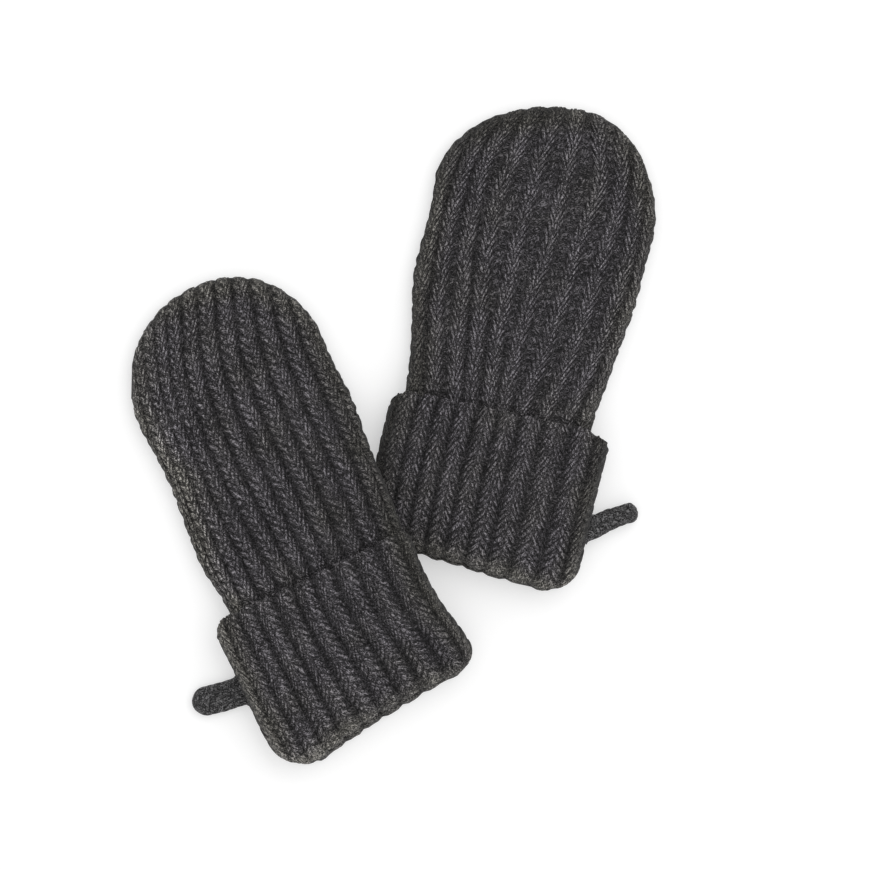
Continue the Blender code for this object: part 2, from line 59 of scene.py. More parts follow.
# The knitted wall, in mm.
GAP = 0.35  # air between palm and back, and between the hand and the cuff's lip
HAND_PLANE = 3.2  # height of the parting between palm and back in the hand
CUFF_PLANE = 5.8  # the same parting inside the cuff
BACK_WALL = 2.5  # back wall at the bottom of a valley
HELD_WALL = 2.2  # hand wall where the cuff's lip holds it
LIP_WALL = 2.5  # cuff wall outside the held hand
RIB_RISE = 1.2  # crest of a rib above its valleys
RIB_SHARE = 0.77  # part of the rib pitch that a rib takes
HAND_ROLL = 3.2  # width of the round side of the hand
CUFF_ROLL = 4.2  # width of the round side of the cuff
RIB_FADE = 2.6  # ribs gain their height over this distance from the edge
RIM_RISE = 0.7  # so much of that distance is already behind at the edge itself
LIP_CLEAR = (0.4, 4.5)  # above the lip, the hand is free of it and full over this stretch
RIBS_RISE = (0.2, 2.4)  # above the lip, the hand's ribs gain their height over this stretch
MOUTH_FADE = (1.0, 5.0)  # the cuff's ribs do so over this one from the mouth, from half of it on
MOUTH_SHINE = (0.5, 5.0)  # the light on the fold at the mouth ends over this stretch
TIP_BUMP = 0.5  # how far a rib's end stands out of the round tip
HELD_DEPTH = 5.0  # how deep the hand slips under the cuff's lip
CLOSED_DEPTH = 1.0  # the same at the cuff's sides, where the lip is closed
SLIP_ROOM = 0.45  # free room beside the held hand
LIP_ROUND = 1.5  # how far the cuff's upper edge rounds off
LIP_BUMP = 1.0  # how far a rib's end stands out of that edge
LIP_REACH = 3.5  # that ends at this distance from the edge
MOUTH_BUMP = 0.6  # the same at the fold at the mouth
CUFF_STEP = 13.0  # length over which the hand climbs onto the cuff
NOSE_LENGTH = 2.6  # length of the round fold at the mouth
LANE_GAP = 0.3  # least distance between two of a rib's four marks that crowd at the side
CROWDED = 8  # so many marks may crowd there
LANE_STEP = 1.0  # least distance between the ends of two marks, along the outline
LANE_BEND = 6.0  # length over which a lane turns towards its end
LANE_SEARCH = 12.0  # lanes end no further below the shoulder than this
RIB_MARKS = (-1.0, -0.45, 0.45, 1.0)
SLANT_REACH = 5.7  # the slant of a cuff's upper right corner begins so far from the side
SIDE_REACH = 2.5  # the sides show their stitches up to so far inside the outline
SLOT_SOFT = 0.012  # share of the cuff's width over which the slot's ends soften

# The stitches, in mm.
CORD_SLOPE = 1.3  # a leg on the cord rises so much for each mm that it runs outwards
CORD_GROOVE = 0.07  # half width of the groove between a cord's two legs, in columns
LEG_TOP = (2.2, 0.62)  # how full and how round the top of a leg is
PURL_TOP = (2.0, 0.7)  # the same for a purl bump
GROOVE = 0.13  # half width of the groove along a rib's middle, as a share of the rib's half
SLOPE_CHANGE = (3, 22)  # over this stretch from the mouth the legs come to their full slope
NARROW_RIB = (1.4, 2.4)  # half widths between which a rib counts less and less as narrow
WIDE_VALLEY = (1.2, 3.4)  # widths between which a valley counts more and more as wide
FULL_RISE = 1.1  # the ends of ribs stand out by so much of RIB_RISE at most
TWIST = 0.38  # the yarn's fibres lie turned so far, in radians, from the way that a leg runs
RIB_WANDER = 0.35  # how far a rib strays from its line
PRESSED = 0.45  # depth of the valleys under the palm, where the ribs are pressed flat
TUBE_INSET = 2.4  # the hand tube's inner face stands so far inside its outline
FOLD_INSET = 3.4  # the same for the cuff, whose two layers are folded round

NO_EDGE = 9.0  # distance to the outline, for cloth that is far from any
FLOOR = 3.0  # half width of the floor, in metres

# How finely the surfaces are worked out.
RIB_LANES = 214  # lanes on the ribs of one side of a mitten, shared out among them
VALLEY_LANES = 4
PALM_STEP = 6  # the palm keeps every so-many-th lane, but all at its sides
INNER_STEP = 12
BODY_ROWS = 236
TIP_ROWS = 20
TIP_RUN = 4.0  # length of the finer rows at the tip
CUFF_FACE_ROWS = 154
CUFF_LIP_ROWS = 12
CUFF_NOSE_ROWS = 16
CUFF_INNER_ROWS = 8
LOOP_ROWS = 70
LOOP_BEND_ROWS = 40
LOOP_RING = 48
LOOP_COLUMNS = 4  # columns of stitches round the cord
SEWN_SPREAD = 0.32  # the cord is so much wider where it is sewn on
SEWN_STRETCH = (-1.0, 1.3)  # and comes to its own width over this stretch out of the side
SAG_LENGTH = 7.0  # a loop runs straight from this distance on
LOOP_ROOT = 3.0  # the cord is sewn in so far inside the cuff's side
LOOP_BESIDE = {"left": True, "right": False}  # strands side by side, or one on the other

SideRow = namedtuple("SideRow", "height left right")
RibRow = namedtuple("RibRow", "tip upper middle lower wrist")
Sides = namedtuple("Sides", "left right")
EdgeRow = namedtuple("EdgeRow", "left middle right")
Corners = namedtuple("Corners", "lip_left lip_right fold_left fold_right slant")
LoopRow = namedtuple("LoopRow", "along half_width low high")
Mitten = namedtuple(
    "Mitten",
    "name place turn tip shoulder fullness hand_sides rib_lines"
    " cuff_sides cuff_ribs lip fold corners peek loop_root loop_turn loop_sag loop_rows"
    " hand_legs cuff_legs widest_rib mouth_shine hand_light cuff_light",
)
Legs = namedtuple("Legs", "left right parting mouth crisp")
# Painted light and shade along a piece's sides: factors at heights, left and right, and their reach.
Light = namedtuple("Light", "heights left right reach")
Lanes = namedtuple("Lanes", "rib across valley mark")
Knit = namedtuple("Knit", "height yarn depth")
Skin = namedtuple("Skin", "points yarn depth edge")
Section = namedtuple("Section", "y height relief inset face_end top end full from_side")


def table_of(kind, *rows):
    """A table whose rows have the columns of their kind."""
    return tuple(kind(*row) for row in rows)


RIB_HEIGHTS = RibRow(tip=69.0, upper=51.0, middle=33.0, lower=6.0, wrist=-20.0)

LEFT = Mitten(
    name="left",
    place=(-26.9, -22.2),
    turn=20.0,
    tip=(-5.0, 74.0),
    shoulder=Sides(left=42.0, right=46.0),
    fullness=Sides(left=2.08, right=2.0),
    hand_sides=table_of(
        SideRow,
        (-27.0, -31.8, 24.6),
        (-20.5, -31.5, 24.9),
        (-15.5, -32.4, 25.6),
        (-8.0, -34.4, 25.8),
        (6.0, -35.2, 25.2),
        (20.0, -35.0, 24.8),
        (30.0, -36.4, 24.4),
        (38.0, -37.6, 23.5),
        (46.0, -37.9, 22.7),
    ),
    # One row for each rib, from the left side to the right: where its middle line runs.
    rib_lines=table_of(
        RibRow,
        (-31.5, -36.0, -36.9, -37.0, -34.2),
        (-28.5, -33.0, -33.8, -34.0, -31.2),
        (-24.8, -29.3, -30.4, -31.0, -28.9),
        (-21.0, -25.8, -27.1, -26.8, -24.5),
        (-16.6, -21.8, -23.2, -21.5, -18.2),
        (-11.7, -16.6, -18.0, -15.6, -12.2),
        (-6.2, -10.9, -11.9, -9.5, -6.7),
        (-0.7, -5.0, -5.4, -3.3, -1.3),
        (4.8, 1.3, 1.0, 3.1, 4.2),
        (10.5, 7.8, 7.2, 9.4, 10.2),
        (16.0, 14.0, 14.0, 15.9, 16.4),
        (20.0, 19.0, 20.0, 21.4, 21.6),
        (23.0, 22.0, 23.4, 24.6, 24.6),
    ),
    cuff_sides=table_of(
        SideRow,
        (-76.0, -31.8, 34.8),
        (-66.0, -33.2, 34.2),
        (-57.0, -34.6, 33.5),
        (-48.0, -35.5, 31.6),
        (-39.0, -36.2, 29.1),
        (-30.0, -37.1, 27.7),
        (-15.0, -37.4, 27.1),
    ),
    cuff_ribs=(3.6, 4.7, 5.5, 6.4, 6.5, 6.8, 7.0, 6.9, 7.9, 7.3, 3.4),
    lip=EdgeRow(-21.8, -19.6, -15.3),
    fold=EdgeRow(-74.9, -66.5, -61.1),
    corners=Corners(lip_left=4.5, lip_right=2.0, fold_left=11.5, fold_right=6.0, slant=0.0),
    peek=2.0,
    loop_root=(-35.9, -44.9),
    loop_turn=173.5,
    loop_sag=-0.5,
    loop_rows=table_of(
        LoopRow,
        (0.0, 3.8, 0.5, 4.0),
        (3.0, 3.95, 0.1, 3.8),
        (6.5, 4.4, 0.0, 3.7),
        (10.5, 4.6, 0.0, 3.7),
        (13.2, 3.9, 0.0, 3.6),
        (15.0, 2.4, 0.3, 3.3),
        (15.6, 0.7, 1.0, 2.6),
    ),
    # How steeply the legs of the stitches rise on either side, where they part on a rib, the share of
    # that steepness that they keep at the mouth, and how crisply the painted shade in their creases sets
    # them off.
    hand_legs=Legs(1.2, 2.4, -0.05, 1.0, 2.2),
    cuff_legs=Legs(3.0, 1.3, -0.2, 0.35, 1.0),
    widest_rib=5.4,
    mouth_shine=Sides(0.62, 0.15),
    # Painted light and shade: how much lighter or darker the wool is painted along either side, at
    # three heights, and how far that reaches in.
    hand_light=Light((-10, 30, 58), (1.9, 2.5, 1.1), (0.6, 0.85, 1.1), 14),
    cuff_light=Light((-70, -50, -30), (1.5, 1.3, 1.2), (0.75, 0.8, 0.5), 10),
)

RIGHT = Mitten(
    name="right",
    place=(37.7, 27.4),
    turn=-13.0,
    tip=(3.0, 72.2),
    shoulder=Sides(left=44.0, right=38.0),
    fullness=Sides(left=1.9, right=1.95),
    hand_sides=table_of(
        SideRow,
        (-28.0, -30.4, 26.5),
        (-21.0, -30.4, 26.4),
        (-16.5, -30.8, 26.5),
        (-7.5, -32.0, 27.8),
        (1.5, -33.7, 28.8),
        (10.0, -35.4, 29.9),
        (24.0, -35.6, 30.9),
        (38.0, -35.6, 31.6),
        (46.0, -36.1, 31.8),
    ),
    rib_lines=table_of(
        RibRow,
        (-27.0, -32.8, -33.5, -32.5, -28.5),
        (-21.5, -27.5, -29.0, -26.8, -22.2),
        (-17.0, -22.5, -23.0, -20.0, -15.8),
        (-11.5, -15.2, -16.8, -14.0, -10.8),
        (-5.0, -7.2, -7.7, -7.6, -5.6),
        (1.0, 2.0, 1.4, -0.7, -0.8),
        (8.0, 12.0, 10.0, 8.0, 4.6),
        (15.0, 19.0, 18.0, 15.8, 11.4),
        (20.5, 24.2, 25.5, 23.2, 18.3),
        (24.5, 28.7, 29.9, 28.0, 23.6),
    ),
    cuff_sides=table_of(
        SideRow,
        (-72.0, -33.4, 31.4),
        (-60.0, -33.9, 32.2),
        (-48.0, -34.2, 32.2),
        (-36.0, -34.4, 32.4),
        (-20.0, -33.9, 32.5),
    ),
    cuff_ribs=(2.1, 5.8, 5.7, 5.8, 6.3, 6.5, 6.6, 7.2, 8.5, 7.6, 4.4),
    lip=EdgeRow(-21.4, -20.9, -20.4),
    fold=EdgeRow(-66.4, -68.9, -70.4),
    corners=Corners(lip_left=4.0, lip_right=0.8, fold_left=5.0, fold_right=8.0, slant=2.4),
    peek=1.2,
    loop_root=(32.65, -48.15),
    loop_turn=31.5,
    loop_sag=-0.75,
    loop_rows=table_of(
        LoopRow,
        (0.0, 3.3, 0.6, 5.6),
        (3.0, 3.2, 0.1, 5.6),
        (7.0, 3.0, 0.0, 5.5),
        (11.0, 2.8, 0.0, 5.4),
        (13.4, 2.6, 0.1, 5.2),
        (14.4, 1.5, 0.6, 4.6),
        (14.8, 0.5, 1.6, 3.6),
    ),
    hand_legs=Legs(2.3, 2.8, -0.05, 1.0, 2.0),
    cuff_legs=Legs(2.2, 1.9, 0.0, 0.5, 1.6),
    widest_rib=4.4,
    mouth_shine=Sides(0.1, 0.35),
    # Painted light and shade along either side: the cuff's left side lies in the left mitten's shade.
    hand_light=Light((-10, 32, 60), (0.3, 0.95, 0.2), (0.85, 0.9, 0.8), 7),
    cuff_light=Light((-70, -50, -30), (0.6, 0.55, 0.0), (1.4, 0.3, 0.0), 6),
)

# The left mitten climbs over the right cuff's corner, in the left mitten's frame.
CLIMB = 9.7
CLIMB_ACROSS = (-12.0, 12.5)
CLIMB_FROM_TIP = (36.0, 9.0)
CLIMB_FROM_MOUTH = (-58.0, -27.0)
# The right cuff is pressed there, beyond a line in the right mitten's frame.
PRESS_SHARE = 0.30
PRESS_POINT = (-24.7, -55.6)
PRESS_TURN = 217.0
PRESS_LENGTH = (-12.0, 1.0)


# ---- curves and edges


def pick(table, index):
    """Entries of a column, or of each lane's own column."""
    return table[index] if table.ndim == 1 else np.take_along_axis(table, index, axis=0)


def through(stations, values, at):
    """Cubic pieces through the values at the rising stations, straight beyond the last ones.

    values has one row for each station and may have one column for each lane of at.
    """
    stations = np.asarray(stations, float)
    values = np.asarray(values, float)
    at = np.asarray(at, float)
    slopes = np.gradient(values, stations, axis=0)
    inside = np.clip(at, stations[0], stations[-1])
    i = np.clip(np.searchsorted(stations, inside) - 1, 0, len(stations) - 2)
    length = stations[i + 1] - stations[i]
    t = (inside - stations[i]) / length
    start = pick(values, i) * (1 + 2 * t) + pick(slopes, i) * length * t
    end = pick(values, i + 1) * (3 - 2 * t) - pick(slopes, i + 1) * length * (1 - t)
    curve = start * (1 - t) ** 2 + end * t**2
    beyond = np.where(at < stations[0], slopes[0], slopes[-1]) * (at - inside)
    return curve + beyond


def ease(start, end, at):
    """0 before the start and 1 after the end, with a soft change between."""
    t = np.clip((np.asarray(at, float) - start) / (end - start), 0, 1)
    return t * t * (3 - 2 * t)


def round_off(distance, reach):
    """Height of a quarter round at a distance from its foot, from 0 to 1."""
    t = 1 - np.clip(distance, 0, reach) / reach
    return np.sqrt(1 - t * t)


def plump(t, fullness, power):
    """A full round top over t from 0 to 1: (1 - |2t - 1| ^ fullness) ^ power."""
    return np.clip(1 - np.abs(2 * t - 1) ** fullness, 0, 1) ** power


def scatter(*parts):
    """A number from 0 to 1 that looks random, from whole numbers: the fraction of a large sine."""
    total = sum(part * weight for part, weight in zip(parts, (12.9898, 78.233, 37.719, 4.581)))
    return np.mod(np.sin(total) * 43758.5453, 1.0)


def wander(x, y, length, seed):
    """A slow uneven wave from -1 to 1: the mean of three sines that run in different directions."""
    turns = 2 * math.pi / length
    first = np.sin(turns * (0.8 * x + 0.6 * y) + 1.7 * seed)
    second = np.sin(turns * (1.3 * y - 0.5 * x) + 2.9 * seed + 1.3)
    third = np.sin(turns * (0.45 * y - 1.1 * x) + 4.3 * seed + 2.1)
    return (first + second + third) / 3


def turned(x, y, angle):
    """x and y turned by an angle in radians."""
    return x * np.cos(angle) - y * np.sin(angle), x * np.sin(angle) + y * np.cos(angle)


def side_at(table, column, height):
    """A smooth curve through one column of a table of sides."""
    return through([row.height for row in table], [getattr(row, column) for row in table], height)


def hand_side(mitten, column, height):
    """The hand's outline: the table up to the shoulder, then a quarter of a full ellipse."""
    shoulder = getattr(mitten.shoulder, column)
    low = side_at(mitten.hand_sides, column, np.minimum(height, shoulder))
    tip_x, tip_y = mitten.tip
    t = np.clip((height - shoulder) / (tip_y - shoulder), 0, 1)
    power = getattr(mitten.fullness, column)
    narrow = (1 - t**power) ** (1 / power)
    return tip_x + (low - tip_x) * narrow


def hand_span(mitten, y):
    """The hand's left and right outline at heights y."""
    return hand_side(mitten, "left", y), hand_side(mitten, "right", y)


def cuff_span(mitten, y):
    """The cuff's left and right outline at heights y."""
    return side_at(mitten.cuff_sides, "left", y), side_at(mitten.cuff_sides, "right", y)


def hand_outline(mitten):
    """Points along the hand's left side, the tip and the right side."""
    sides = []
    for column in ("left", "right"):
        shoulder = getattr(mitten.shoulder, column)
        low = np.linspace(mitten.hand_sides[0].height, shoulder, 120)
        turn = np.linspace(0, math.pi / 2, 160)[1:]
        dome = shoulder + (mitten.tip[1] - shoulder) * np.sin(turn)
        heights = np.concatenate([low, dome])
        sides.append(np.stack([hand_side(mitten, column, heights), heights], 1))
    left, right = sides
    return np.concatenate([left, right[-2::-1]])


def distance_to(outline, x, y):
    """Distance of each point to the nearest stretch of an outline, a few rows at a time."""
    start, end = outline[:-1], outline[1:]
    run = end - start
    square = np.maximum((run**2).sum(-1), 1e-9)
    found = []
    for row_x, row_y in zip(x, y):
        to_point = np.stack([row_x, row_y], -1)[:, None, :] - start
        t = np.clip((to_point * run).sum(-1) / square, 0, 1)
        away = to_point - t[..., None] * run
        found.append(np.sqrt((away**2).sum(-1)).min(-1))
    return np.array(found)


def cuff_share(mitten, x, y):
    """How far across the cuff a point lies, from 0 at its left side to 1 at its right side."""
    left, right = cuff_span(mitten, y)
    return (x - left) / (right - left)


def edge_height(edge, share):
    """Height of a cuff edge: a parabola through its left, middle and right."""
    left = edge.left * (1 - share) * (1 - 2 * share)
    middle = edge.middle * 4 * share * (1 - share)
    right = edge.right * share * (2 * share - 1)
    return left + middle + right


def above_lip(mitten, x, y):
    """How far a point lies above the cuff's upper edge."""
    return y - edge_height(mitten.lip, np.clip(cuff_share(mitten, x, y), 0, 1))


def corner_drop(distance, radius):
    """How far a rounded corner of a radius falls back at a distance from the side."""
    return radius * (1 - round_off(distance, radius))


def lie(mitten, x, y, z):
    """Heights as the pair lies: the left mitten climbs over a corner, the right one is pressed."""
    if mitten.name == "left":
        across = ease(*CLIMB_ACROSS, x)
        along = ease(*CLIMB_FROM_TIP, y) * ease(*CLIMB_FROM_MOUTH, y)
        return z + CLIMB * across * along
    turn = math.radians(PRESS_TURN)
    beyond = turned(x - PRESS_POINT[0], y - PRESS_POINT[1], -turn)[0]
    return z * (1 - PRESS_SHARE * ease(*PRESS_LENGTH, beyond))


def parting(mitten, x, y):
    """Height of the parting between palm and back, which steps up onto the turned-up cuff."""
    down = ease(LIP_CLEAR[0], CUFF_STEP, above_lip(mitten, x, y))
    return CUFF_PLANE + (HAND_PLANE - CUFF_PLANE) * down


# ---- lanes and stitches


def rib_lanes(ribs, margin):
    """The lanes of one side: a margin, then ribs with valleys between them, then a margin.

    rib and across say where a lane runs on a rib, from -1 at its left foot to 1 at its right.
    valley runs from 0 to 1 in a valley or a margin, and is 0 on a rib. mark counts a rib's
    four marks and the two sides, with parts of one between them.
    """
    across = np.linspace(-1, 1, round(RIB_LANES / ribs))
    valley = np.linspace(0, 1, VALLEY_LANES + 2)[1:-1]
    rows = [(-1, 0.0, part**2, part**2) for part in np.linspace(0, 1, margin + 1)[:-1]]
    for rib in range(ribs):
        marks = 4 * rib + 1 + np.interp(across, RIB_MARKS, range(4))
        rows += [(rib, a, 0.0, mark) for a, mark in zip(across, marks)]
        if rib < ribs - 1:
            rows += [(rib, 1.0, part, 4 * rib + 4 + part) for part in valley]
    for part in np.linspace(1, 0, margin + 1)[1:]:
        rows.append((ribs - 1, 1.0, 1 - part**2, 4 * ribs + 1 - part**2))
    rib, across, valley, mark = (np.array(column) for column in zip(*rows))
    return Lanes(rib.astype(int), across, valley, mark)


def knit(lanes, half, gap, y, pitch, facing, legs, seed):
    """Height of the knit over its valleys' floor, in mm, with what the wool's material reads.

    On a rib, phase counts stitches along lines that slant away from where the legs part, as
    steeply as legs says, upwards (facing 1) or downwards (-1). Each whole number is one leg,
    with a full round top between two creases, and its two columns part in a groove. In a valley a
    purl bump arches across for each stitch row. yarn holds mm along the leg, mm across it and
    a number that differs from leg to leg. depth is painted shade for the wool's colour:
    0 in a crease and 1 on top, and darker too at a rib's feet and between the purl bumps.
    """
    sizes = bpy.context.scene.mitten_knit
    apart = lanes.across - legs.parting
    reach = np.abs(apart) * half
    side = np.sign(apart)
    slope = np.where(apart < 0, legs.left, legs.right)
    slope = slope * (legs.mouth + (1 - legs.mouth) * ease(*SLOPE_CHANGE, y))
    uneven = 0.2 * wander(0 * y + lanes.rib * 5.1, y, 19, seed) + 0.12 * wander(reach, y, 7, seed + 1)
    course = y / pitch + uneven + 0.12 * scatter(lanes.rib, seed) * facing
    phase = course - facing * slope * reach / pitch + 0.16 * side
    stitch = np.floor(phase)
    chance = scatter(stitch, lanes.rib + 3, side + 2, seed)
    top = plump(phase - stitch, *LEG_TOP)
    spread = 1.16 - (0.2 + 0.26 * chance) * top
    dome = np.clip(1 - (np.abs(lanes.across) * spread) ** 2.3, 0, 1) ** 0.72
    groove = np.exp(-((apart / GROOVE) ** 2))
    narrow = 1 - ease(*NARROW_RIB, half)
    leg = sizes.rib / MM * (1 - 0.3 * narrow) * dome + 0.22 * (chance - 0.5) * top * dome
    leg = leg - sizes.crease / MM * (1 - top) * np.sqrt(dome)
    leg = leg - sizes.groove / MM * groove * (0.75 + 0.25 * top)

    centre = 2 * lanes.valley - 1
    row = course + 0.5 - 0.06 * facing * np.minimum(gap / pitch, 1.2) * centre**2
    bump = np.floor(row)
    bump_chance = scatter(bump, lanes.rib + 0.5, seed)
    bump_top = plump(row - bump, *PURL_TOP)
    arch = plump(lanes.valley, 2.0, 0.5)
    broad = ease(*WIDE_VALLEY, gap)
    purl = sizes.purl / MM * arch * (bump_top * (0.8 + 0.4 * bump_chance) * (0.5 + 0.8 * broad) - 0.3)

    on_rib = lanes.valley == 0
    lean = 0.75 * np.arctan2(1, slope) - facing * side * TWIST
    on_leg = (*turned(facing * y, -reach, lean), 9 * chance + 3 * side)
    on_bump = (*turned(centre * gap / 2, y, 2.6 * (0.5 - bump_chance)), 9 * bump_chance + 20)
    yarn = np.stack([np.where(on_rib, *pair) for pair in zip(on_leg, on_bump)], -1)
    # Painted shade: the creases between legs are painted dark, least along the rib's middle, where
    # the legs lie close together, and most along its feet, where they stand apart.
    apart_at_foot = top ** (legs.crisp * (0.55 + 2.2 * lanes.across**2))
    foot = 0.1 + 0.2 * narrow
    leg_painted_shading = (0.1 + 0.9 * apart_at_foot) * (1 - 0.4 * groove) * (foot + (1 - foot) * dome)
    leg_painted_shading = leg_painted_shading * (1 + 0.2 * (chance - 0.5))
    bump_painted_shading = (0.04 + 0.3 * broad * arch**3 + 0.2 * narrow) * bump_top * (0.2 + 1.3 * bump_chance)
    return Knit(np.where(on_rib, leg, purl), yarn, np.where(on_rib, leg_painted_shading, bump_painted_shading))


# ---- meshes


def placed(mitten, points):
    """The mitten's own millimetres, turned and moved to where it lies, in metres."""
    x, y = turned(points[:, 0], points[:, 1], math.radians(mitten.turn))
    return np.stack([x + mitten.place[0], y + mitten.place[1], points[:, 2]], -1) * MM


def add_object(name, data, location=(0, 0, 0)):
    """A new object in the scene."""
    thing = bpy.data.objects.new(name, data)
    thing.location = location
    bpy.context.scene.collection.objects.link(thing)
    return thing


def make_piece(mitten, part, nodes, skin, faces, material):
    """A mitten's piece from its skin, whose points are in the mitten's own millimetres.

    Each group of faces is an array with one row for each face. nodes are the solids' names
    without the mitten's, which the piece replaces.
    """
    name = mitten.name + part
    mesh = bpy.data.meshes.new(name)
    corners = np.concatenate([group.ravel() for group in faces])
    sizes = np.concatenate([np.full(len(group), group.shape[1]) for group in faces])
    mesh.vertices.add(skin.depth.size)
    mesh.vertices.foreach_set("co", placed(mitten, skin.points.reshape(-1, 3)).ravel())
    mesh.loops.add(len(corners))
    mesh.loops.foreach_set("vertex_index", corners)
    mesh.polygons.add(len(sizes))
    mesh.polygons.foreach_set("loop_start", np.concatenate([[0], np.cumsum(sizes)[:-1]]))
    mesh.update(calc_edges=True)
    mesh.validate()
    mesh.shade_smooth()
    for label, kind, field in (
        ("yarn", "FLOAT_VECTOR", "vector"),
        ("depth", "FLOAT", "value"),
        ("edge", "FLOAT", "value"),
    ):
        attribute = mesh.attributes.new(label, kind, "POINT")
        attribute.data.foreach_set(field, np.asarray(getattr(skin, label), np.float32).ravel())
    mesh.materials.append(material)
    piece = add_object(name, mesh)
    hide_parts(*(mitten.name + node for node in nodes))
    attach(piece, "root")
    return piece


def flipped(faces):
    """The same faces, seen from the other side."""
    return [group[:, ::-1] for group in faces]


def grid_faces(index, close_rows=False, close_lanes=False):
    """Four-cornered faces over a grid of point numbers, closed round either way."""
    if close_rows:
        index = np.concatenate([index, index[:1]])
    if close_lanes:
        index = np.concatenate([index, index[:, :1]], 1)
    corners = (index[:-1, :-1], index[:-1, 1:], index[1:, 1:], index[1:, :-1])
    return np.stack(corners, -1).reshape(-1, 4)


def grouped(polygons):
    """Polygons given as lists of point numbers, as one array for each number of corners."""
    by_size = {}
    for polygon in polygons:
        by_size.setdefault(len(polygon), []).append(polygon)
    return [np.array(group) for group in by_size.values()]


def around(back, palm, order):
    """A tube's rings, its back and then its palm's lanes in their order, and its tip's line once."""
    rings = np.concatenate([back, palm[:, order]], 1)[:-1]
    return np.concatenate([rings.reshape(-1, *back.shape[2:]), back[-1]])


def tube_faces(first, rings, count, keep):
    """The point numbers of a tube's rings, and the faces round them and over the closed tip.

    Points are numbered from first on, as around puts them: each ring has count lanes on the
    back and those of keep on the palm, and the tip's line has the back's lanes.
    """
    ring = count + len(keep) - 2
    index = first + np.arange(rings * ring).reshape(rings, ring)
    tip = first + rings * ring + np.arange(count)
    below = index[-1, -np.arange(len(keep))]
    spans = enumerate(zip(keep[:-1], keep[1:]))
    palm = [[below[k + 1], below[k], *tip[a : b + 1]] for k, (a, b) in spans]
    back = grid_faces(np.stack([index[-1, :count], tip]))
    return index, [grid_faces(index, close_lanes=True), back, *grouped(palm)]


# ---- hand


def hand_lines(mitten, lanes, y):
    """Where the lanes run at heights y, with the half width of the rib and the valley's width."""
    table = np.array(mitten.rib_lines)[:, ::-1]
    table = np.concatenate([[2 * table[0] - table[1]], table, [2 * table[-1] - table[-2]]])
    stations = RIB_HEIGHTS[::-1]

    def middle(rib):
        columns = table[np.clip(rib + 1, 0, len(table) - 1)].T
        return through(stations, columns, y) + RIB_WANDER * wander(7.3 * rib + 0 * y, y, 17, 5)

    own, before, after = middle(lanes.rib), middle(lanes.rib - 1), middle(lanes.rib + 1)
    half_before = 0.5 * np.minimum((own - before) * RIB_SHARE, mitten.widest_rib)
    half_after = 0.5 * np.minimum((after - own) * RIB_SHARE, mitten.widest_rib)
    left, right = hand_span(mitten, y)
    start = np.where(lanes.rib < 0, left, own + half_after)
    last = len(mitten.rib_lines) - 1
    end = np.where(lanes.rib < last, after - half_after, right)
    half = np.where(lanes.across < 0, half_before, half_after)
    on_rib = own + lanes.across * half
    in_valley = start + lanes.valley * (end - start)
    at_side = (lanes.rib < 0) | ((lanes.rib == last) & (lanes.valley > 0))
    x = np.where((lanes.valley > 0) | at_side, in_valley, on_rib)
    return x, half, np.maximum(end - start, 0.2)


def hand_ends(mitten, lanes, outline):
    """The points of the outline where the lanes end, spread so that no two crowd."""
    heights = np.linspace(min(mitten.shoulder) - LANE_SEARCH, mitten.tip[1], 400)
    y = np.repeat(heights[:, None], len(lanes.rib), 1)
    x = hand_lines(mitten, lanes, y)[0]
    left, right = hand_span(mitten, y)
    room = np.minimum(x - left, right - x)
    after = np.maximum(1, np.argmax(room <= 0, axis=0))[None]
    near, far = (np.take_along_axis(room, k, 0)[0] for k in (after - 1, after))
    t = np.clip(near / np.where(near == far, 1, near - far), 0, 1)
    end_y = heights[after[0] - 1] * (1 - t) + heights[after[0]] * t
    end_x = hand_lines(mitten, lanes, end_y[None])[0][0]

    run = np.concatenate([[0], np.cumsum(np.hypot(*np.diff(outline, axis=0).T))])
    on_dome = run[outline[:, 1] > max(mitten.shoulder)]
    away = np.hypot(outline[:, 0][:, None] - end_x, outline[:, 1][:, None] - end_y)
    at = run[np.argmin(away, axis=0)]
    at[0] = on_dome[0]
    steps = LANE_STEP * lanes.mark
    at = np.maximum.accumulate(np.maximum(at, on_dome[0]) - steps) + steps
    at[-1] = on_dome[-1]
    at = np.minimum.accumulate((at - steps)[::-1])[::-1] + steps
    last = lanes.mark[-1]
    corners = [np.argmax(lanes.mark >= 1), len(at) - 1 - np.argmax(lanes.mark[::-1] <= last - 1)]
    marks = [0, *lanes.mark[corners], last]
    margin = (lanes.mark < 1) | (lanes.mark > last - 1)
    at = np.where(margin, np.interp(lanes.mark, marks, at[[0, *corners, -1]]), at)
    return np.interp(at, run, outline[:, 0]), np.interp(at, run, outline[:, 1])


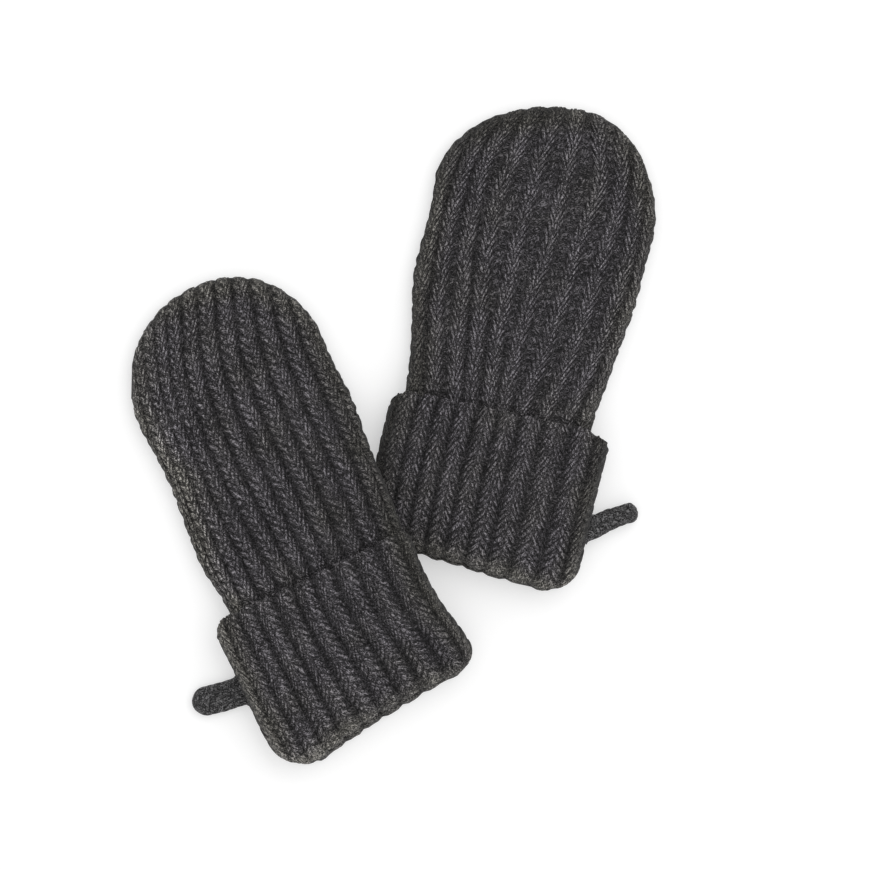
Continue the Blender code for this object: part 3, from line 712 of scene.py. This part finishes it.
def hand_plan(mitten, lanes):
    """x, y and distance to the outline for every row and lane, with the ribs' widths."""
    outline = hand_outline(mitten)
    end_x, end_y = hand_ends(mitten, lanes, outline)
    level = np.full((1, len(lanes.rib)), mitten.lip.middle)
    start_x = hand_lines(mitten, lanes, level)[0]
    low = edge_height(mitten.lip, cuff_share(mitten, start_x, level))[0] - HELD_DEPTH
    body = low + (end_y - TIP_RUN - low) * np.linspace(0, 1, BODY_ROWS)[:, None]
    left_over = np.linspace(1, 0, TIP_ROWS + 1)[1:, None] ** 1.7
    y = np.concatenate([body, end_y - TIP_RUN * left_over])
    x, half, gap = hand_lines(mitten, lanes, y)
    line_end = hand_lines(mitten, lanes, end_y[None])[0]
    free = np.clip((end_y - y) / LANE_BEND, 0, 1)
    x = x + (end_x - line_end) * ease(0, 1, 1 - free)
    room = LANE_GAP * free
    left, right = hand_span(mitten, y)
    from_right = lanes.mark[-1] - lanes.mark
    x = np.maximum(x, left + room * np.minimum(lanes.mark, CROWDED))
    x = np.minimum(x, right - room * np.minimum(from_right, CROWDED))
    x[:, 0], x[:, -1] = left[:, 0], right[:, -1]
    distance = distance_to(outline, x, y)
    distance[-1] = 0
    distance[:, [0, -1]] = 0
    return x, y, distance, half, gap


def kept_lanes(lanes):
    """The lanes that the palm keeps: every one near the sides, and else every so-many-th."""
    last = len(lanes.rib) - 1
    index = np.arange(last + 1)
    near = (lanes.mark < 4) | (lanes.mark > lanes.mark[-1] - 4)
    return index[near | (index % PALM_STEP == 0) | (index == last)]


def hand(mitten, material):
    """The knitted tube of a hand: ribbed outside, plain inside, closed at the tip.

    Outer and inner surface are grids that run round the tube, back first and then the palm.
    Their last row is one line on the outline, and their first rows are joined at the wrist.
    """
    pitch = bpy.context.scene.mitten_knit.hand_stitch / MM
    lanes = rib_lanes(len(mitten.rib_lines), 4)
    x, y, distance, half, gap = hand_plan(mitten, lanes)
    over = above_lip(mitten, x, y)
    plane = parting(mitten, x, y)
    stitches = knit(lanes, half, gap, over, pitch, 1, mitten.hand_legs, len(mitten.name))
    free = ease(*LIP_CLEAR, over)
    roll = round_off(distance, HAND_ROLL)
    relief = stitches.height * ease(*RIBS_RISE, over) * ease(-RIM_RISE, RIB_FADE, distance)
    wall = HELD_WALL + (BACK_WALL - HELD_WALL) * free
    back = plane + (GAP / 2 + wall + relief) * roll
    under = (CUFF_PLANE - GAP / 2 - HELD_WALL) * (1 - ease(LIP_CLEAR[0], CUFF_STEP, over))
    rise = stitches.height / RIB_RISE
    pressed = PRESSED * (1 - np.clip(rise, 0, 1)) * free
    palm = plane - (plane - under - pressed) * roll

    # The ends of the ribs stand out at the tip, and the sides show the stitches' legs.
    at_end = ease(0, 1, 1 - np.clip((y[-1] - y) / SIDE_REACH, 0, 1))
    y = y + TIP_BUMP * np.clip(rise, 0, FULL_RISE) * at_end
    centre = (x[:, :1] + x[:, -1:]) / 2
    show = stitch_edge(over, pitch) * free * (1 - ease(0, SIDE_REACH, distance))
    x = x + np.sign(x - centre) * show
    depth = paint_light_and_shade(stitches.depth, mitten.hand_light, distance, x - centre, y, show)

    keep = kept_lanes(lanes)
    plain = np.stack([x, y, 0 * y], -1)
    above = Skin(surface(mitten, x, y, back), stitches.yarn, depth, distance)
    below = Skin(surface(mitten, x, y, palm), plain, depth, distance)
    outer = [around(*fields, keep[-2:0:-1]) for fields in zip(above, below)]
    rings, faces = tube_faces(0, len(y) - 1, len(lanes.rib), keep)

    # The inner surface: the same plan drawn in, a hair's breadth either side of the parting.
    picks = [np.unique([*range(0, count, INNER_STEP), count - 1]) for count in x.shape]
    grid = np.ix_(*picks)
    width = (x[:, -1:] - x[:, :1]) / 2
    inner_x = (centre + (x - centre) * (1 - TUBE_INSET / np.maximum(width, 2 * TUBE_INSET)))[grid]
    inner_y = (y[0] + (y - y[0]) * (1 - TUBE_INSET / (y[-1] - y[0])))[grid]
    open_by = np.full(inner_x.shape, GAP / 2)
    open_by[:, [0, -1]] = 0
    open_by[-1] = 0
    walls = [surface(mitten, inner_x, inner_y, plane[grid] + side * open_by) for side in (1, -1)]
    inner = around(*walls, slice(-2, 0, -1))
    hidden = (inner, np.zeros((len(inner), 3)), np.zeros(len(inner)), np.full(len(inner), NO_EDGE))
    skin = Skin(*(np.concatenate(fields) for fields in zip(outer, hidden)))
    inner_lanes = picks[1]
    count = len(inner_lanes)
    inner_rings, inner_faces = tube_faces(len(outer[0]), len(picks[0]) - 1, count, np.arange(count))
    faces += flipped(inner_faces)

    # The wrist's rim: each inner edge with the outer edges over it.
    rim, inner_rim = (np.append(index[0], index[0, 0]) for index in (rings, inner_rings))
    at = [*inner_lanes, *(len(rim) - 1 - np.searchsorted(keep, inner_lanes[-2::-1]))]
    faces += grouped(
        [inner_rim[k], inner_rim[k + 1], *rim[a : b + 1][::-1]]
        for k, (a, b) in enumerate(zip(at[:-1], at[1:]))
    )
    nodes = ("_hand_back", "_hand_palm")
    return make_piece(mitten, "_hand", nodes, skin, faces, material)


def stitch_edge(y, pitch):
    """How far a side's stitches stand out, in mm: each row a little, and every other one more."""
    row = y / pitch + 0.35 * wander(y, 0 * y, 13, 2)
    small = plump(np.mod(row, 1.0), *PURL_TOP) - 0.6
    large = plump(np.mod(row / 1.8, 1.0) ** 1.5, *PURL_TOP) - 0.6
    slow = wander(y, 0 * y, 25, 4)
    return 0.2 * small + 0.48 * large * (0.8 + 0.5 * slow) + 0.25 * slow


def paint_light_and_shade(depth, light, distance, from_middle, y, show):
    """Painted light and shade on either side as light says, lighter where side stitches stand out."""
    left, right = (np.interp(y, light.heights, values) for values in (light.left, light.right))
    factor = np.where(from_middle < 0, left, right)
    return depth * (1 + (factor - 1) * (1 - ease(1, light.reach, distance))) * (1 + 0.9 * show)


def surface(mitten, x, y, z):
    """Points of a surface as the pair lies."""
    return np.stack([x, y, lie(mitten, x, y, z)], -1)


# ---- cuff


def cuff_lanes(mitten):
    """The cuff's lanes, with their shares across it and their rib's and valley's share."""
    lanes = rib_lanes(len(mitten.cuff_ribs), 3)
    widths = np.array(mitten.cuff_ribs) / sum(mitten.cuff_ribs)
    starts = np.concatenate([[0], np.cumsum(widths)])
    rib = np.maximum(lanes.rib, 0)
    own = widths[rib]
    after = widths[np.minimum(lanes.rib + 1, len(widths) - 1)]
    foot = (1 - RIB_SHARE) / 2
    on_rib = starts[rib] + own * (0.5 + 0.5 * lanes.across * RIB_SHARE)
    valley_start = starts[lanes.rib + 1] - np.where(lanes.rib < 0, 0, own * foot)
    valley_end = starts[lanes.rib + 1] + np.where(lanes.rib == len(widths) - 1, 0, after * foot)
    in_valley = valley_start + lanes.valley * (valley_end - valley_start)
    share = np.where((lanes.valley > 0) | (lanes.rib < 0), in_valley, on_rib)
    return lanes, share, own * RIB_SHARE / 2, valley_end - valley_start


def slot_ends(mitten):
    """Shares across the cuff where the slot for the hand begins and ends."""
    held = np.linspace(-HELD_DEPTH, LIP_ROUND, 8)
    low = mitten.lip.left + held
    left = cuff_share(mitten, hand_side(mitten, "left", low) - SLIP_ROOM, low).min()
    low = mitten.lip.right + held
    right = cuff_share(mitten, hand_side(mitten, "right", low) + SLIP_ROOM, low).max()
    return float(left), float(right)


def cuff_section(mitten, share, side):
    """The closed section of one side of the cuff, as rows for every share across it.

    It starts at the slot's end, follows the slot, rounds the lip, runs down the outer layer,
    round the fold at the mouth and back along the parting. A row's height is measured from the
    parting. Its relief says how far it is ribbed, and its inset draws it in at the sides, so
    that the layers nest.
    """
    left, right = cuff_span(mitten, mitten.lip.middle)
    from_left, from_right = share * (right - left), (1 - share) * (right - left)
    corners = mitten.corners
    slant = corners.slant * np.clip(1 - from_right / SLANT_REACH, 0, 1)
    flat_top = edge_height(mitten.lip, share) - slant
    top = flat_top - corner_drop(from_left, corners.lip_left) - corner_drop(from_right, corners.lip_right)
    peek = mitten.peek if side > 0 else 0
    end = edge_height(mitten.fold, share) + peek * np.sin(math.pi * share)
    end = end + corner_drop(from_left, corners.fold_left) + corner_drop(from_right, corners.fold_right)
    slot_left, slot_right = slot_ends(mitten)
    in_slot = ease(slot_left - SLOT_SOFT, slot_left, share)
    in_slot = in_slot * (1 - ease(slot_right, slot_right + SLOT_SOFT, share))
    slot_end = (flat_top - HELD_DEPTH - SLIP_ROOM) * in_slot + (top - CLOSED_DEPTH) * (1 - in_slot)
    base = GAP / 2
    slot = base + HELD_WALL + GAP
    wall = LIP_WALL if side > 0 else CUFF_PLANE - slot
    full = slot + wall
    nose = end + NOSE_LENGTH
    lip = top - LIP_ROUND

    def stretch(start, stop, height, relief, inset, steps):
        return [(start * (1 - t) + stop * t, height, relief, inset) for t in steps]

    rows = [(slot_end, base, 0, 1.0), *stretch(slot_end, lip, slot, 0, 0.5, (0, 0.5, 1))]
    for t in np.linspace(0, 1, CUFF_LIP_ROWS + 2)[1:-1]:
        turn = math.pi * t
        height = slot + wall * (1 - math.cos(turn)) / 2
        rows.append((lip + LIP_ROUND * math.sin(turn), height, min(1, 1.8 * t), 0.5 * (1 - t)))
    rows += stretch(lip, nose, full, 1, 0, np.linspace(0, 1, CUFF_FACE_ROWS))
    face_end = len(rows) - 1
    centre, radius = (full + base) / 2, (full - base) / 2
    for turn in math.pi * np.linspace(0, 1, CUFF_NOSE_ROWS + 1)[1:]:
        height = centre + radius * math.cos(turn)
        relief = max(0, math.cos(turn / 1.5))
        rows.append((nose - NOSE_LENGTH * math.sin(turn), height, relief, (1 - math.cos(turn)) / 2))
    rows += stretch(nose, slot_end, base, 0, 1.0, np.linspace(0, 1, CUFF_INNER_ROWS + 2)[1:-1])
    one = np.ones_like(share)
    y, height, relief, inset = (np.array([row[k] * one for row in rows]) for k in range(4))
    from_side = np.minimum(from_left, from_right)
    return Section(y, height, relief, inset * FOLD_INSET, face_end, top, end, full, from_side)


def cuff_side(mitten, lanes, share, half, gap, side):
    """The skin of one side of the turned-up cuff, 1 above the parting and -1 below."""
    pitch = bpy.context.scene.mitten_knit.cuff_stitch / MM
    y, height, rib, inset, face_end, top, end, full, nearest = cuff_section(mitten, share, side)
    left, right = cuff_span(mitten, y)
    width = right - left
    # The stitches' rows are counted along the section, so that they go on round lip and fold.
    steps = (np.diff(values, axis=0, prepend=values[:1]) for values in (y, height))
    run = np.cumsum(np.hypot(*steps), axis=0)
    run = run[face_end] - run
    seed = 7 + len(mitten.name)
    stitches = knit(lanes, half * width, gap * width, run, pitch, -1, mitten.cuff_legs, seed)
    roll = round_off(nearest, CUFF_ROLL)
    to_mouth = y - end
    rise = stitches.height / RIB_RISE
    relief = stitches.height if side > 0 else -PRESSED * (1 - np.clip(rise, 0, 1))
    falloff = ease(-RIM_RISE, RIB_FADE, nearest) * (0.5 + 0.5 * ease(*MOUTH_FADE, to_mouth))
    z = CUFF_PLANE + side * (height + relief * rib * falloff) * roll
    rise = np.clip(rise, 0, FULL_RISE)
    uneven = 0.3 * wander(share * 60, 0 * y, 11, 6)
    y = y + (LIP_BUMP * (rise - 0.5) + uneven) * rib * (1 - ease(0, LIP_REACH, top - y))
    nose_out = np.where(np.arange(len(y))[:, None] > face_end, np.sin(math.pi * height / full), 0)
    y = y - (MOUTH_BUMP * (rise - 0.6) + 0.6 * uneven) * np.clip(nose_out, 0, 1)
    show = stitch_edge(run, pitch) * rib * (1 - ease(0, SIDE_REACH, nearest))
    x = left + inset + share * (width - 2 * inset) + np.sign(share - 0.5) * show
    # The fold's upper layer catches the light along the mouth, and the lower one is in its shade.
    shine = np.interp(share, (0, 1), mitten.mouth_shine)
    shine = shine * (1 - ease(*MOUTH_SHINE, to_mouth)) if side > 0 else 0.0
    depth = np.clip(stitches.depth + shine, 0, 1.3)
    depth = paint_light_and_shade(depth, mitten.cuff_light, nearest, share - 0.5, y, show)
    yarn = stitches.yarn if side > 0 else np.stack([x, run, 0 * x], -1)
    edge = np.minimum(nearest, 1.6 + np.clip(to_mouth, 0, 20))
    return Skin(surface(mitten, x, y, z), yarn, depth, edge)


def cuff(mitten, material):
    """The turned-up cuff: the section of its two layers carried round the flattened tube."""
    lanes, share, half, gap = cuff_lanes(mitten)
    keep = kept_lanes(lanes)[-2:0:-1]
    back, palm = (cuff_side(mitten, lanes, share, half, gap, side) for side in (1, -1))
    skin = Skin(*(np.concatenate([above, below[:, keep]], 1) for above, below in zip(back, palm)))
    index = np.arange(skin.depth.size).reshape(skin.depth.shape)
    faces = flipped([grid_faces(index, close_rows=True, close_lanes=True)])
    nodes = ("_cuff_back", "_cuff_palm")
    return make_piece(mitten, "_cuff", nodes, skin, faces, material)


# ---- hanging loop


def loop_path(mitten):
    """The doubled cord's middle line, out along one strand, round the bend and back.

    Gives the distance along the loop, the offset from the loop's middle and the heading, as
    functions of the way run: straight, half a turn, straight.
    """
    rows = np.array(mitten.loop_rows)
    length = rows[-1, 0]
    half, deep = (through(rows[:, 0], rows[:, k], length / 2) for k in (1, 3))
    strand = (half if LOOP_BESIDE[mitten.name] else deep / 2) / 2
    bend = length - 2 * strand
    straight = np.linspace(-LOOP_ROOT, bend, LOOP_ROWS)
    turn = np.linspace(0, math.pi, LOOP_BEND_ROWS)[1:-1]
    along = np.concatenate([straight, bend + strand * np.sin(turn), straight[::-1]])
    offset = np.concatenate([0 * straight + 1, np.cos(turn), 0 * straight - 1]) * strand * 0.9
    heading = np.concatenate([0 * straight, turn, 0 * straight + math.pi])
    return along, offset, heading, strand


def beside_cuff(mitten, along, across):
    """x and y of points given along the loop and across it."""
    x, y = turned(along, across, math.radians(mitten.loop_turn))
    return mitten.loop_root[0] + x, mitten.loop_root[1] + y


def loop(mitten, material):
    """A hanging loop: a knitted cord, folded in two and sewn to the cuff's side.

    Each ring is an ellipse across the path. The strands lie beside each other, or one on the
    other, and columns of V stitches run round the cord. It spreads where it is sewn on.
    """
    along, offset, heading, strand = loop_path(mitten)
    beside = LOOP_BESIDE[mitten.name]
    rows = np.array(mitten.loop_rows)
    at = np.clip(along, 0, rows[-1, 0] * 0.8)
    width, low, high = (through(rows[:, 0], rows[:, k], at) for k in (1, 2, 3))
    middle = (low + high) / 2
    angle = np.linspace(0, 2 * math.pi, LOOP_RING + 1)[:-1]
    run = np.concatenate([[0], np.cumsum(np.hypot(np.diff(along), np.diff(offset)))])[:, None]
    out_of_plane = (high - low) / 2 if beside else width * 0.96
    girth = math.pi * (strand + out_of_plane.mean())
    turns = angle / (2 * math.pi) * LOOP_COLUMNS + 0.5
    column = np.mod(turns, 1) - 0.5
    reach = np.abs(column) * girth / LOOP_COLUMNS
    pitch = bpy.context.scene.mitten_knit.cuff_stitch / MM
    phase = (run - CORD_SLOPE * reach) / pitch + 0.1 * wander(run, 0 * run, 9, 3)
    chance = scatter(np.floor(phase), np.floor(turns), np.sign(column), len(mitten.name))
    top = plump(np.mod(phase, 1.0), *LEG_TOP)
    groove = np.exp(-((column / CORD_GROOVE) ** 2))
    bulge = 0.28 * (top - 1) - 0.22 * groove + 0.12 * (chance - 0.5)
    ring = (0.98 if beside else 1.12) + bulge / strand * 0.6
    stretch = np.cos(angle) * ring * strand * (1.1 if beside else 0.97)
    outwards, sideways = np.sin(heading)[:, None], np.cos(heading)[:, None]
    blunt = 1 if beside else 1 - 0.55 * outwards
    lift = np.sign(np.sin(angle)) * np.abs(np.sin(angle)) ** blunt * ring * out_of_plane[:, None]
    flat = along[:, None] + outwards * stretch
    across, up = offset[:, None] + sideways * stretch, lift
    if not beside:
        # One strand lies on the other, so the cord's end is rounded across its width.
        end = rows[-1, 0] + 0.3
        cap = np.clip((flat - end) / width.min() + 1, 0, 0.99)
        across, up = lift * np.sqrt(1 - cap**2), across
    up = up + middle[:, None]
    across = across + mitten.loop_sag * (1 - ease(0, SAG_LENGTH, flat))
    x, y = beside_cuff(mitten, flat, across)
    outside = np.abs(x) - np.abs(side_at(mitten.cuff_sides, mitten.name, y))
    spread = 1 + SEWN_SPREAD * (1 - ease(*SEWN_STRETCH, outside))
    x, y = beside_cuff(mitten, flat, across * spread)
    index = np.arange(x.size).reshape(x.shape)
    faces = [grid_faces(index, close_lanes=True), *grouped([index[0, ::-1], index[-1]])]
    yarn = (*turned(run, -reach, math.atan2(1, CORD_SLOPE)), 9 * chance + 3 * np.sign(column))
    # Painted shade: the cord's creases and the groove between its legs are painted darker.
    depth = (0.35 + 0.65 * top) * (1 - 0.5 * groove)
    points = np.stack([x, y, np.maximum(up, 0.02)], -1)
    skin = Skin(points, np.stack(yarn, -1), depth, np.full(x.shape, NO_EDGE))
    if not beside:
        faces = flipped(faces)
    return make_piece(mitten, "_loop_cord", ("_loop",), skin, faces, material)


# ---- materials


def maths(operation, swapped=False):
    """A method of Value that adds a Math node."""

    def apply(self, *others):
        values = [*others, self] if swapped else [self, *others]
        return self.recipe.node("ShaderNodeMath", {"operation": operation}, values)

    return apply


class Value:
    """A value in a material. Arithmetic on it adds Math nodes."""

    def __init__(self, recipe, socket):
        self.recipe = recipe
        self.socket = socket

    __add__ = __radd__ = maths("ADD")
    __mul__ = __rmul__ = maths("MULTIPLY")
    __sub__ = maths("SUBTRACT")
    __rsub__ = maths("SUBTRACT", swapped=True)
    __truediv__ = maths("DIVIDE")
    or_more = maths("MAXIMUM")
    sine = maths("SINE")

    def between(self, low, high):
        """0 below low and 1 above high, soft between."""
        values = {"Value": self, "From Min": low, "From Max": high}
        return self.recipe.node("ShaderNodeMapRange", {"interpolation_type": "SMOOTHSTEP"}, values)


class Recipe:
    """A material's node tree, built by calls that return values."""

    def __init__(self, name):
        self.material = bpy.data.materials.new(name)
        self.material.use_nodes = True
        self.tree = self.material.node_tree
        self.shader = self.tree.nodes["Principled BSDF"]

    def put(self, socket, value):
        if isinstance(value, Value):
            self.tree.links.new(value.socket, socket)
        else:
            socket.default_value = value

    def node(self, kind, settings=None, values=(), output=0):
        """Adds a node: settings first, then the values or links of its sockets."""
        node = self.tree.nodes.new(kind)
        for name, setting in (settings or {}).items():
            if name == "stops":
                ramp = node.color_ramp
                while len(ramp.elements) < len(setting):
                    ramp.elements.new(1.0)
                for element, (position, colour) in zip(ramp.elements, setting):
                    element.position = position
                    element.color = colour
            else:
                setattr(node, name, setting)
        pairs = values.items() if isinstance(values, dict) else enumerate(values)
        for name, value in pairs:
            self.put(node.inputs[name], value)
        return Value(self, node.outputs[output])

    def attribute(self, name, output):
        settings = {"attribute_type": "GEOMETRY", "attribute_name": name}
        return self.node("ShaderNodeAttribute", settings, output=output)

    def mix(self, factor, first, second, blend="MIX"):
        """A colour between two others. The node's sockets 6 and 7 are its two colours."""
        settings = {"data_type": "RGBA", "blend_type": blend, "clamp_factor": True}
        values = {0: factor, 6: first, 7: second}
        return self.node("ShaderNodeMix", settings, values, output=2)

    def finish(self, values):
        """Sets or links the shader's sockets, and gives the material."""
        for name, value in values.items():
            self.put(self.shader.inputs[name], value)
        return self.material


def wool(name, tone, falloff=0.0, tinted_by=1.0, curly=0.0):
    """Heather wool: light and dark fibres drawn out along the yarn, with painted shade in the creases.

    The wool is a little browner along the outline and in patches, and a little bluer elsewhere.
    falloff is how much lighter the wool is painted for each metre to the left, as light from there.
    """
    colours = bpy.context.scene.mitten_wool
    recipe = Recipe(name)
    yarn = recipe.attribute("yarn", 1)
    parts = recipe.node("ShaderNodeSeparateXYZ", values=[yarn])
    along, cross, cell = (Value(recipe, parts.socket.node.outputs[k]) for k in range(3))
    place = recipe.node("ShaderNodeTexCoord", output=3)
    depth = recipe.attribute("depth", 2)
    edge = recipe.attribute("edge", 2)

    def drawn_out(length, width, lean, shift):
        """Noise in streaks of a length and width in mm, which lean away from the yarn's run."""
        aside = cross + along * (lean + sway) + bend
        spot = [along / length, aside / width, cell * 1.7 + shift]
        vector = recipe.node("ShaderNodeCombineXYZ", values=spot)
        values = {"Vector": vector, "Scale": 1.0, "Detail": 0.0}
        return recipe.node("ShaderNodeTexNoise", values=values)

    def speckle(size, detail, curl=0.0):
        """Noise in patches of a size in metres."""
        values = {"Vector": place, "Scale": 1 / size, "Detail": detail, "Roughness": 0.6}
        values["Distortion"] = curl
        return recipe.node("ShaderNodeTexNoise", values=values)

    bend = (speckle(0.0024, 1.0) - 0.5) * 1.1
    sway = (cell * 4.7).sine() * 0.4
    strands = drawn_out(0.92, 0.31, 0.05, 0.0)
    crossing = drawn_out(0.8, 0.3, -0.35, 11.0)
    curls = speckle(0.0007, 0.0, 1.8)
    fleck = speckle(0.0004, 0.0)
    cloud = speckle(0.009, 2.0)
    curlier = (1 - edge.between(1.0, 6.0)) * 0.08 + (curly - 0.05)
    blend = strands.or_more(crossing).or_more(curls + curlier)
    blend = blend * 0.73 + fleck * 0.28 + (cloud - 0.5) * 0.10 - 0.052
    fibres = (colours.dark, colours.mid, colours.light, colours.brightest)
    stops = [(at, (*fibre, 1.0)) for at, fibre in zip((0.455, 0.515, 0.585, 0.65), fibres)]
    heather = recipe.node("ShaderNodeValToRGB", {"stops": stops}, [blend])
    # Painted shade: the wool is painted darker along the outline, where its sides turn from the light.
    rim = edge.between(-0.5, 2.8) * 0.4 + 0.6
    # Painted light: the wool is painted lighter towards the left, as if lit from there.
    east = recipe.node("ShaderNodeSeparateXYZ", values=[place])
    painted_left_light = (east + 0.04) * -falloff + 1
    # The painted light and shade, times the wool's tone, darken or lighten the heather's colour.
    shade = recipe.node("ShaderNodeCombineColor", values=[(depth * 0.97 + 0.3) * rim * painted_left_light * tone] * 3)
    shaded = recipe.mix(1.0, heather, shade, "MULTIPLY")
    patches = (speckle(0.014, 1.0) - 0.5) * 1.6
    warm = (1 - edge.between(0.5, 10.0)) * 0.9 + 0.1 + patches
    tint = recipe.mix(warm, (*colours.middle_tint, 1.0), (*colours.edge_tint, 1.0))
    tinted = recipe.mix(tinted_by, shaded, tint, "MULTIPLY")
    relief = {"Strength": 0.75, "Distance": 0.00035, "Height": blend}
    bump = recipe.node("ShaderNodeBump", values=relief)
    return recipe.finish(
        {
            "Base Color": tinted,
            "Normal": bump,
            "Roughness": 0.9,
            "Specular IOR Level": 0.2,
            "Sheen Weight": 0.1,
            "Sheen Roughness": 0.55,
            "Sheen Tint": (0.75, 0.74, 0.76, 1.0),
        }
    )


# ---- settings


def length_setting(name, description, default):
    return bpy.props.FloatProperty(name=name, description=description, default=default, unit="LENGTH")


def colour_setting(name, description, default):
    return bpy.props.FloatVectorProperty(
        name=name, description=description, default=default, subtype="COLOR"
    )


class MittenKnit(bpy.types.PropertyGroup):
    """Sizes of the stitches."""

    hand_stitch: length_setting("Hand stitch", "Height of a stitch row on the hand", 0.0029)
    cuff_stitch: length_setting("Cuff stitch", "Height of a stitch row on the cuff", 0.0026)
    rib: length_setting("Rib", "Rise of a rib over its valleys", 0.0016)
    crease: length_setting("Crease", "Depth of the crease between two legs", 0.001)
    groove: length_setting("Groove", "Depth of the groove along a rib's middle", 0.00055)
    purl: length_setting("Purl", "Rise of a purl bump in a valley", 0.0006)


class MittenWool(bpy.types.PropertyGroup):
    """Colours of the heather wool."""

    dark: colour_setting("Dark fibres", "Colour of the darkest fibres", (0.012,) * 3)
    mid: colour_setting("Grey fibres", "Colour of most fibres", (0.036,) * 3)
    light: colour_setting("Light fibres", "Colour of the light fibres", (0.108,) * 3)
    brightest: colour_setting("Lightest fibres", "Colour of the few lightest fibres", (0.24,) * 3)
    edge_tint: colour_setting("Edge tint", "Tint of the wool along edges", (1.035, 0.99, 0.905))
    middle_tint: colour_setting("Middle tint", "Tint of the wool elsewhere", (1.03, 0.97, 1.055))


class MittenStage(bpy.types.PropertyGroup):
    """Camera and light."""

    view_width: length_setting("View width", "Width of what the camera sees", 0.261)
    distance: length_setting("Camera height", "Height of the camera over the table", 1.6)
    sky: bpy.props.FloatProperty(
        name="Sky", description="Strength of the light from all round", default=0.86
    )
    window: bpy.props.FloatProperty(
        name="Soft box", description="Power of the large lamp, in watts", default=4.0, subtype="POWER"
    )


# ---- operators


class MITTEN_OT_hands(bpy.types.Operator):
    """Knits the two hands"""

    bl_idname = "mitten.hands"
    bl_label = "Hands"

    def execute(self, context):
        # The last number is the painted light's falloff: the left hand is painted lighter towards its
        # left.
        rows = ((LEFT, 0.126, 0.098, 1.0, 3.0), (RIGHT, 0.134, 0.096, 1.08, 0.0))
        for mitten, width, length, tone, falloff in rows:
            piece = hand(mitten, wool(mitten.name + "_hand_wool", tone, falloff))
        return {"FINISHED"}


class MITTEN_OT_cuffs(bpy.types.Operator):
    """Knits the two turned-up cuffs"""

    bl_idname = "mitten.cuffs"
    bl_label = "Cuffs"

    def execute(self, context):
        # The last number is the painted light's falloff: the left cuff is painted lighter towards its
        # left.
        for mitten, tone, falloff in ((LEFT, 1.02, 3.0), (RIGHT, 0.97, 0.0)):
            piece = cuff(mitten, wool(mitten.name + "_cuff_wool", tone, falloff))
        return {"FINISHED"}


class MITTEN_OT_loops(bpy.types.Operator):
    """Knits the two hanging loops"""

    bl_idname = "mitten.loops"
    bl_label = "Hanging loops"

    def execute(self, context):
        for mitten in (LEFT, RIGHT):
            loop(mitten, wool(mitten.name + "_loop_wool", 0.62, tinted_by=0.3, curly=0.07))
        return {"FINISHED"}


class MITTEN_OT_stage(bpy.types.Operator):
    """Sets up the floor, the lights and the camera"""

    bl_idname = "mitten.stage"
    bl_label = "Stage"

    def execute(self, context):
        scene = context.scene
        settings = scene.mitten_stage
        mesh = bpy.data.meshes.new("floor")
        corners = ((-FLOOR, -FLOOR), (FLOOR, -FLOOR), (FLOOR, FLOOR), (-FLOOR, FLOOR))
        mesh.from_pydata([(x, y, -0.0002) for x, y in corners], [], [(0, 1, 2, 3)])
        paint = {
            "Base Color": (0.66, 0.66, 0.66, 1.0),
            "Emission Color": (1.0, 1.0, 1.0, 1.0),
            "Emission Strength": 0.42,
            "Roughness": 1.0,
            "Specular IOR Level": 0.0,
        }
        mesh.materials.append(Recipe("floor_paint").finish(paint))
        add_object("floor", mesh)

        world = bpy.data.worlds.new("studio")
        world.use_nodes = True
        background = world.node_tree.nodes["Background"]
        background.inputs["Color"].default_value = (1.0, 1.0, 1.0, 1.0)
        background.inputs["Strength"].default_value = settings.sky
        scene.world = world

        lamp = bpy.data.lights.new("soft_box", "AREA")
        lamp.shape = "RECTANGLE"
        lamp.size, lamp.size_y = 1.2, 1.0
        lamp.energy = settings.window
        box = add_object("soft_box", lamp, (0.62, 0.42, 0.95))
        box.rotation_euler = (-box.location).to_track_quat("-Z", "Y").to_euler()

        camera = bpy.data.cameras.new("camera")
        camera.sensor_width = 36.0
        camera.lens = camera.sensor_width * settings.distance / settings.view_width
        camera.clip_end = 50.0
        scene.camera = add_object("camera", camera, (0.01215, 0.00035, settings.distance))
        scene.view_settings.view_transform = "Standard"
        return {"FINISHED"}


class MITTEN_PT_panel(bpy.types.Panel):
    """Lists the pieces and the stage"""

    bl_label = "Mittens"
    bl_idname = "MITTEN_PT_panel"
    bl_space_type = "VIEW_3D"
    bl_region_type = "UI"
    bl_category = "Mittens"

    def draw(self, context):
        for settings in ("mitten_knit", "mitten_wool", "mitten_stage"):
            group = getattr(context.scene, settings)
            for name in group.__annotations__:
                self.layout.prop(group, name)
        for operator in OPERATORS:
            self.layout.operator(operator.bl_idname)


SETTINGS = {"mitten_knit": MittenKnit, "mitten_wool": MittenWool, "mitten_stage": MittenStage}
OPERATORS = (MITTEN_OT_loops, MITTEN_OT_hands, MITTEN_OT_cuffs, MITTEN_OT_stage)
CLASSES = (*SETTINGS.values(), *OPERATORS, MITTEN_PT_panel)


def register():
    for cls in CLASSES:
        bpy.utils.register_class(cls)
    for name, cls in SETTINGS.items():
        setattr(bpy.types.Scene, name, bpy.props.PointerProperty(type=cls))


def unregister():
    for name in SETTINGS:
        delattr(bpy.types.Scene, name)
    for cls in reversed(CLASSES):
        bpy.utils.unregister_class(cls)


def main():
    register()
    bpy.ops.mitten.loops()
    bpy.ops.mitten.hands()
    bpy.ops.mitten.cuffs()
    bpy.ops.mitten.stage()


if __name__ == "__main__":
    main()
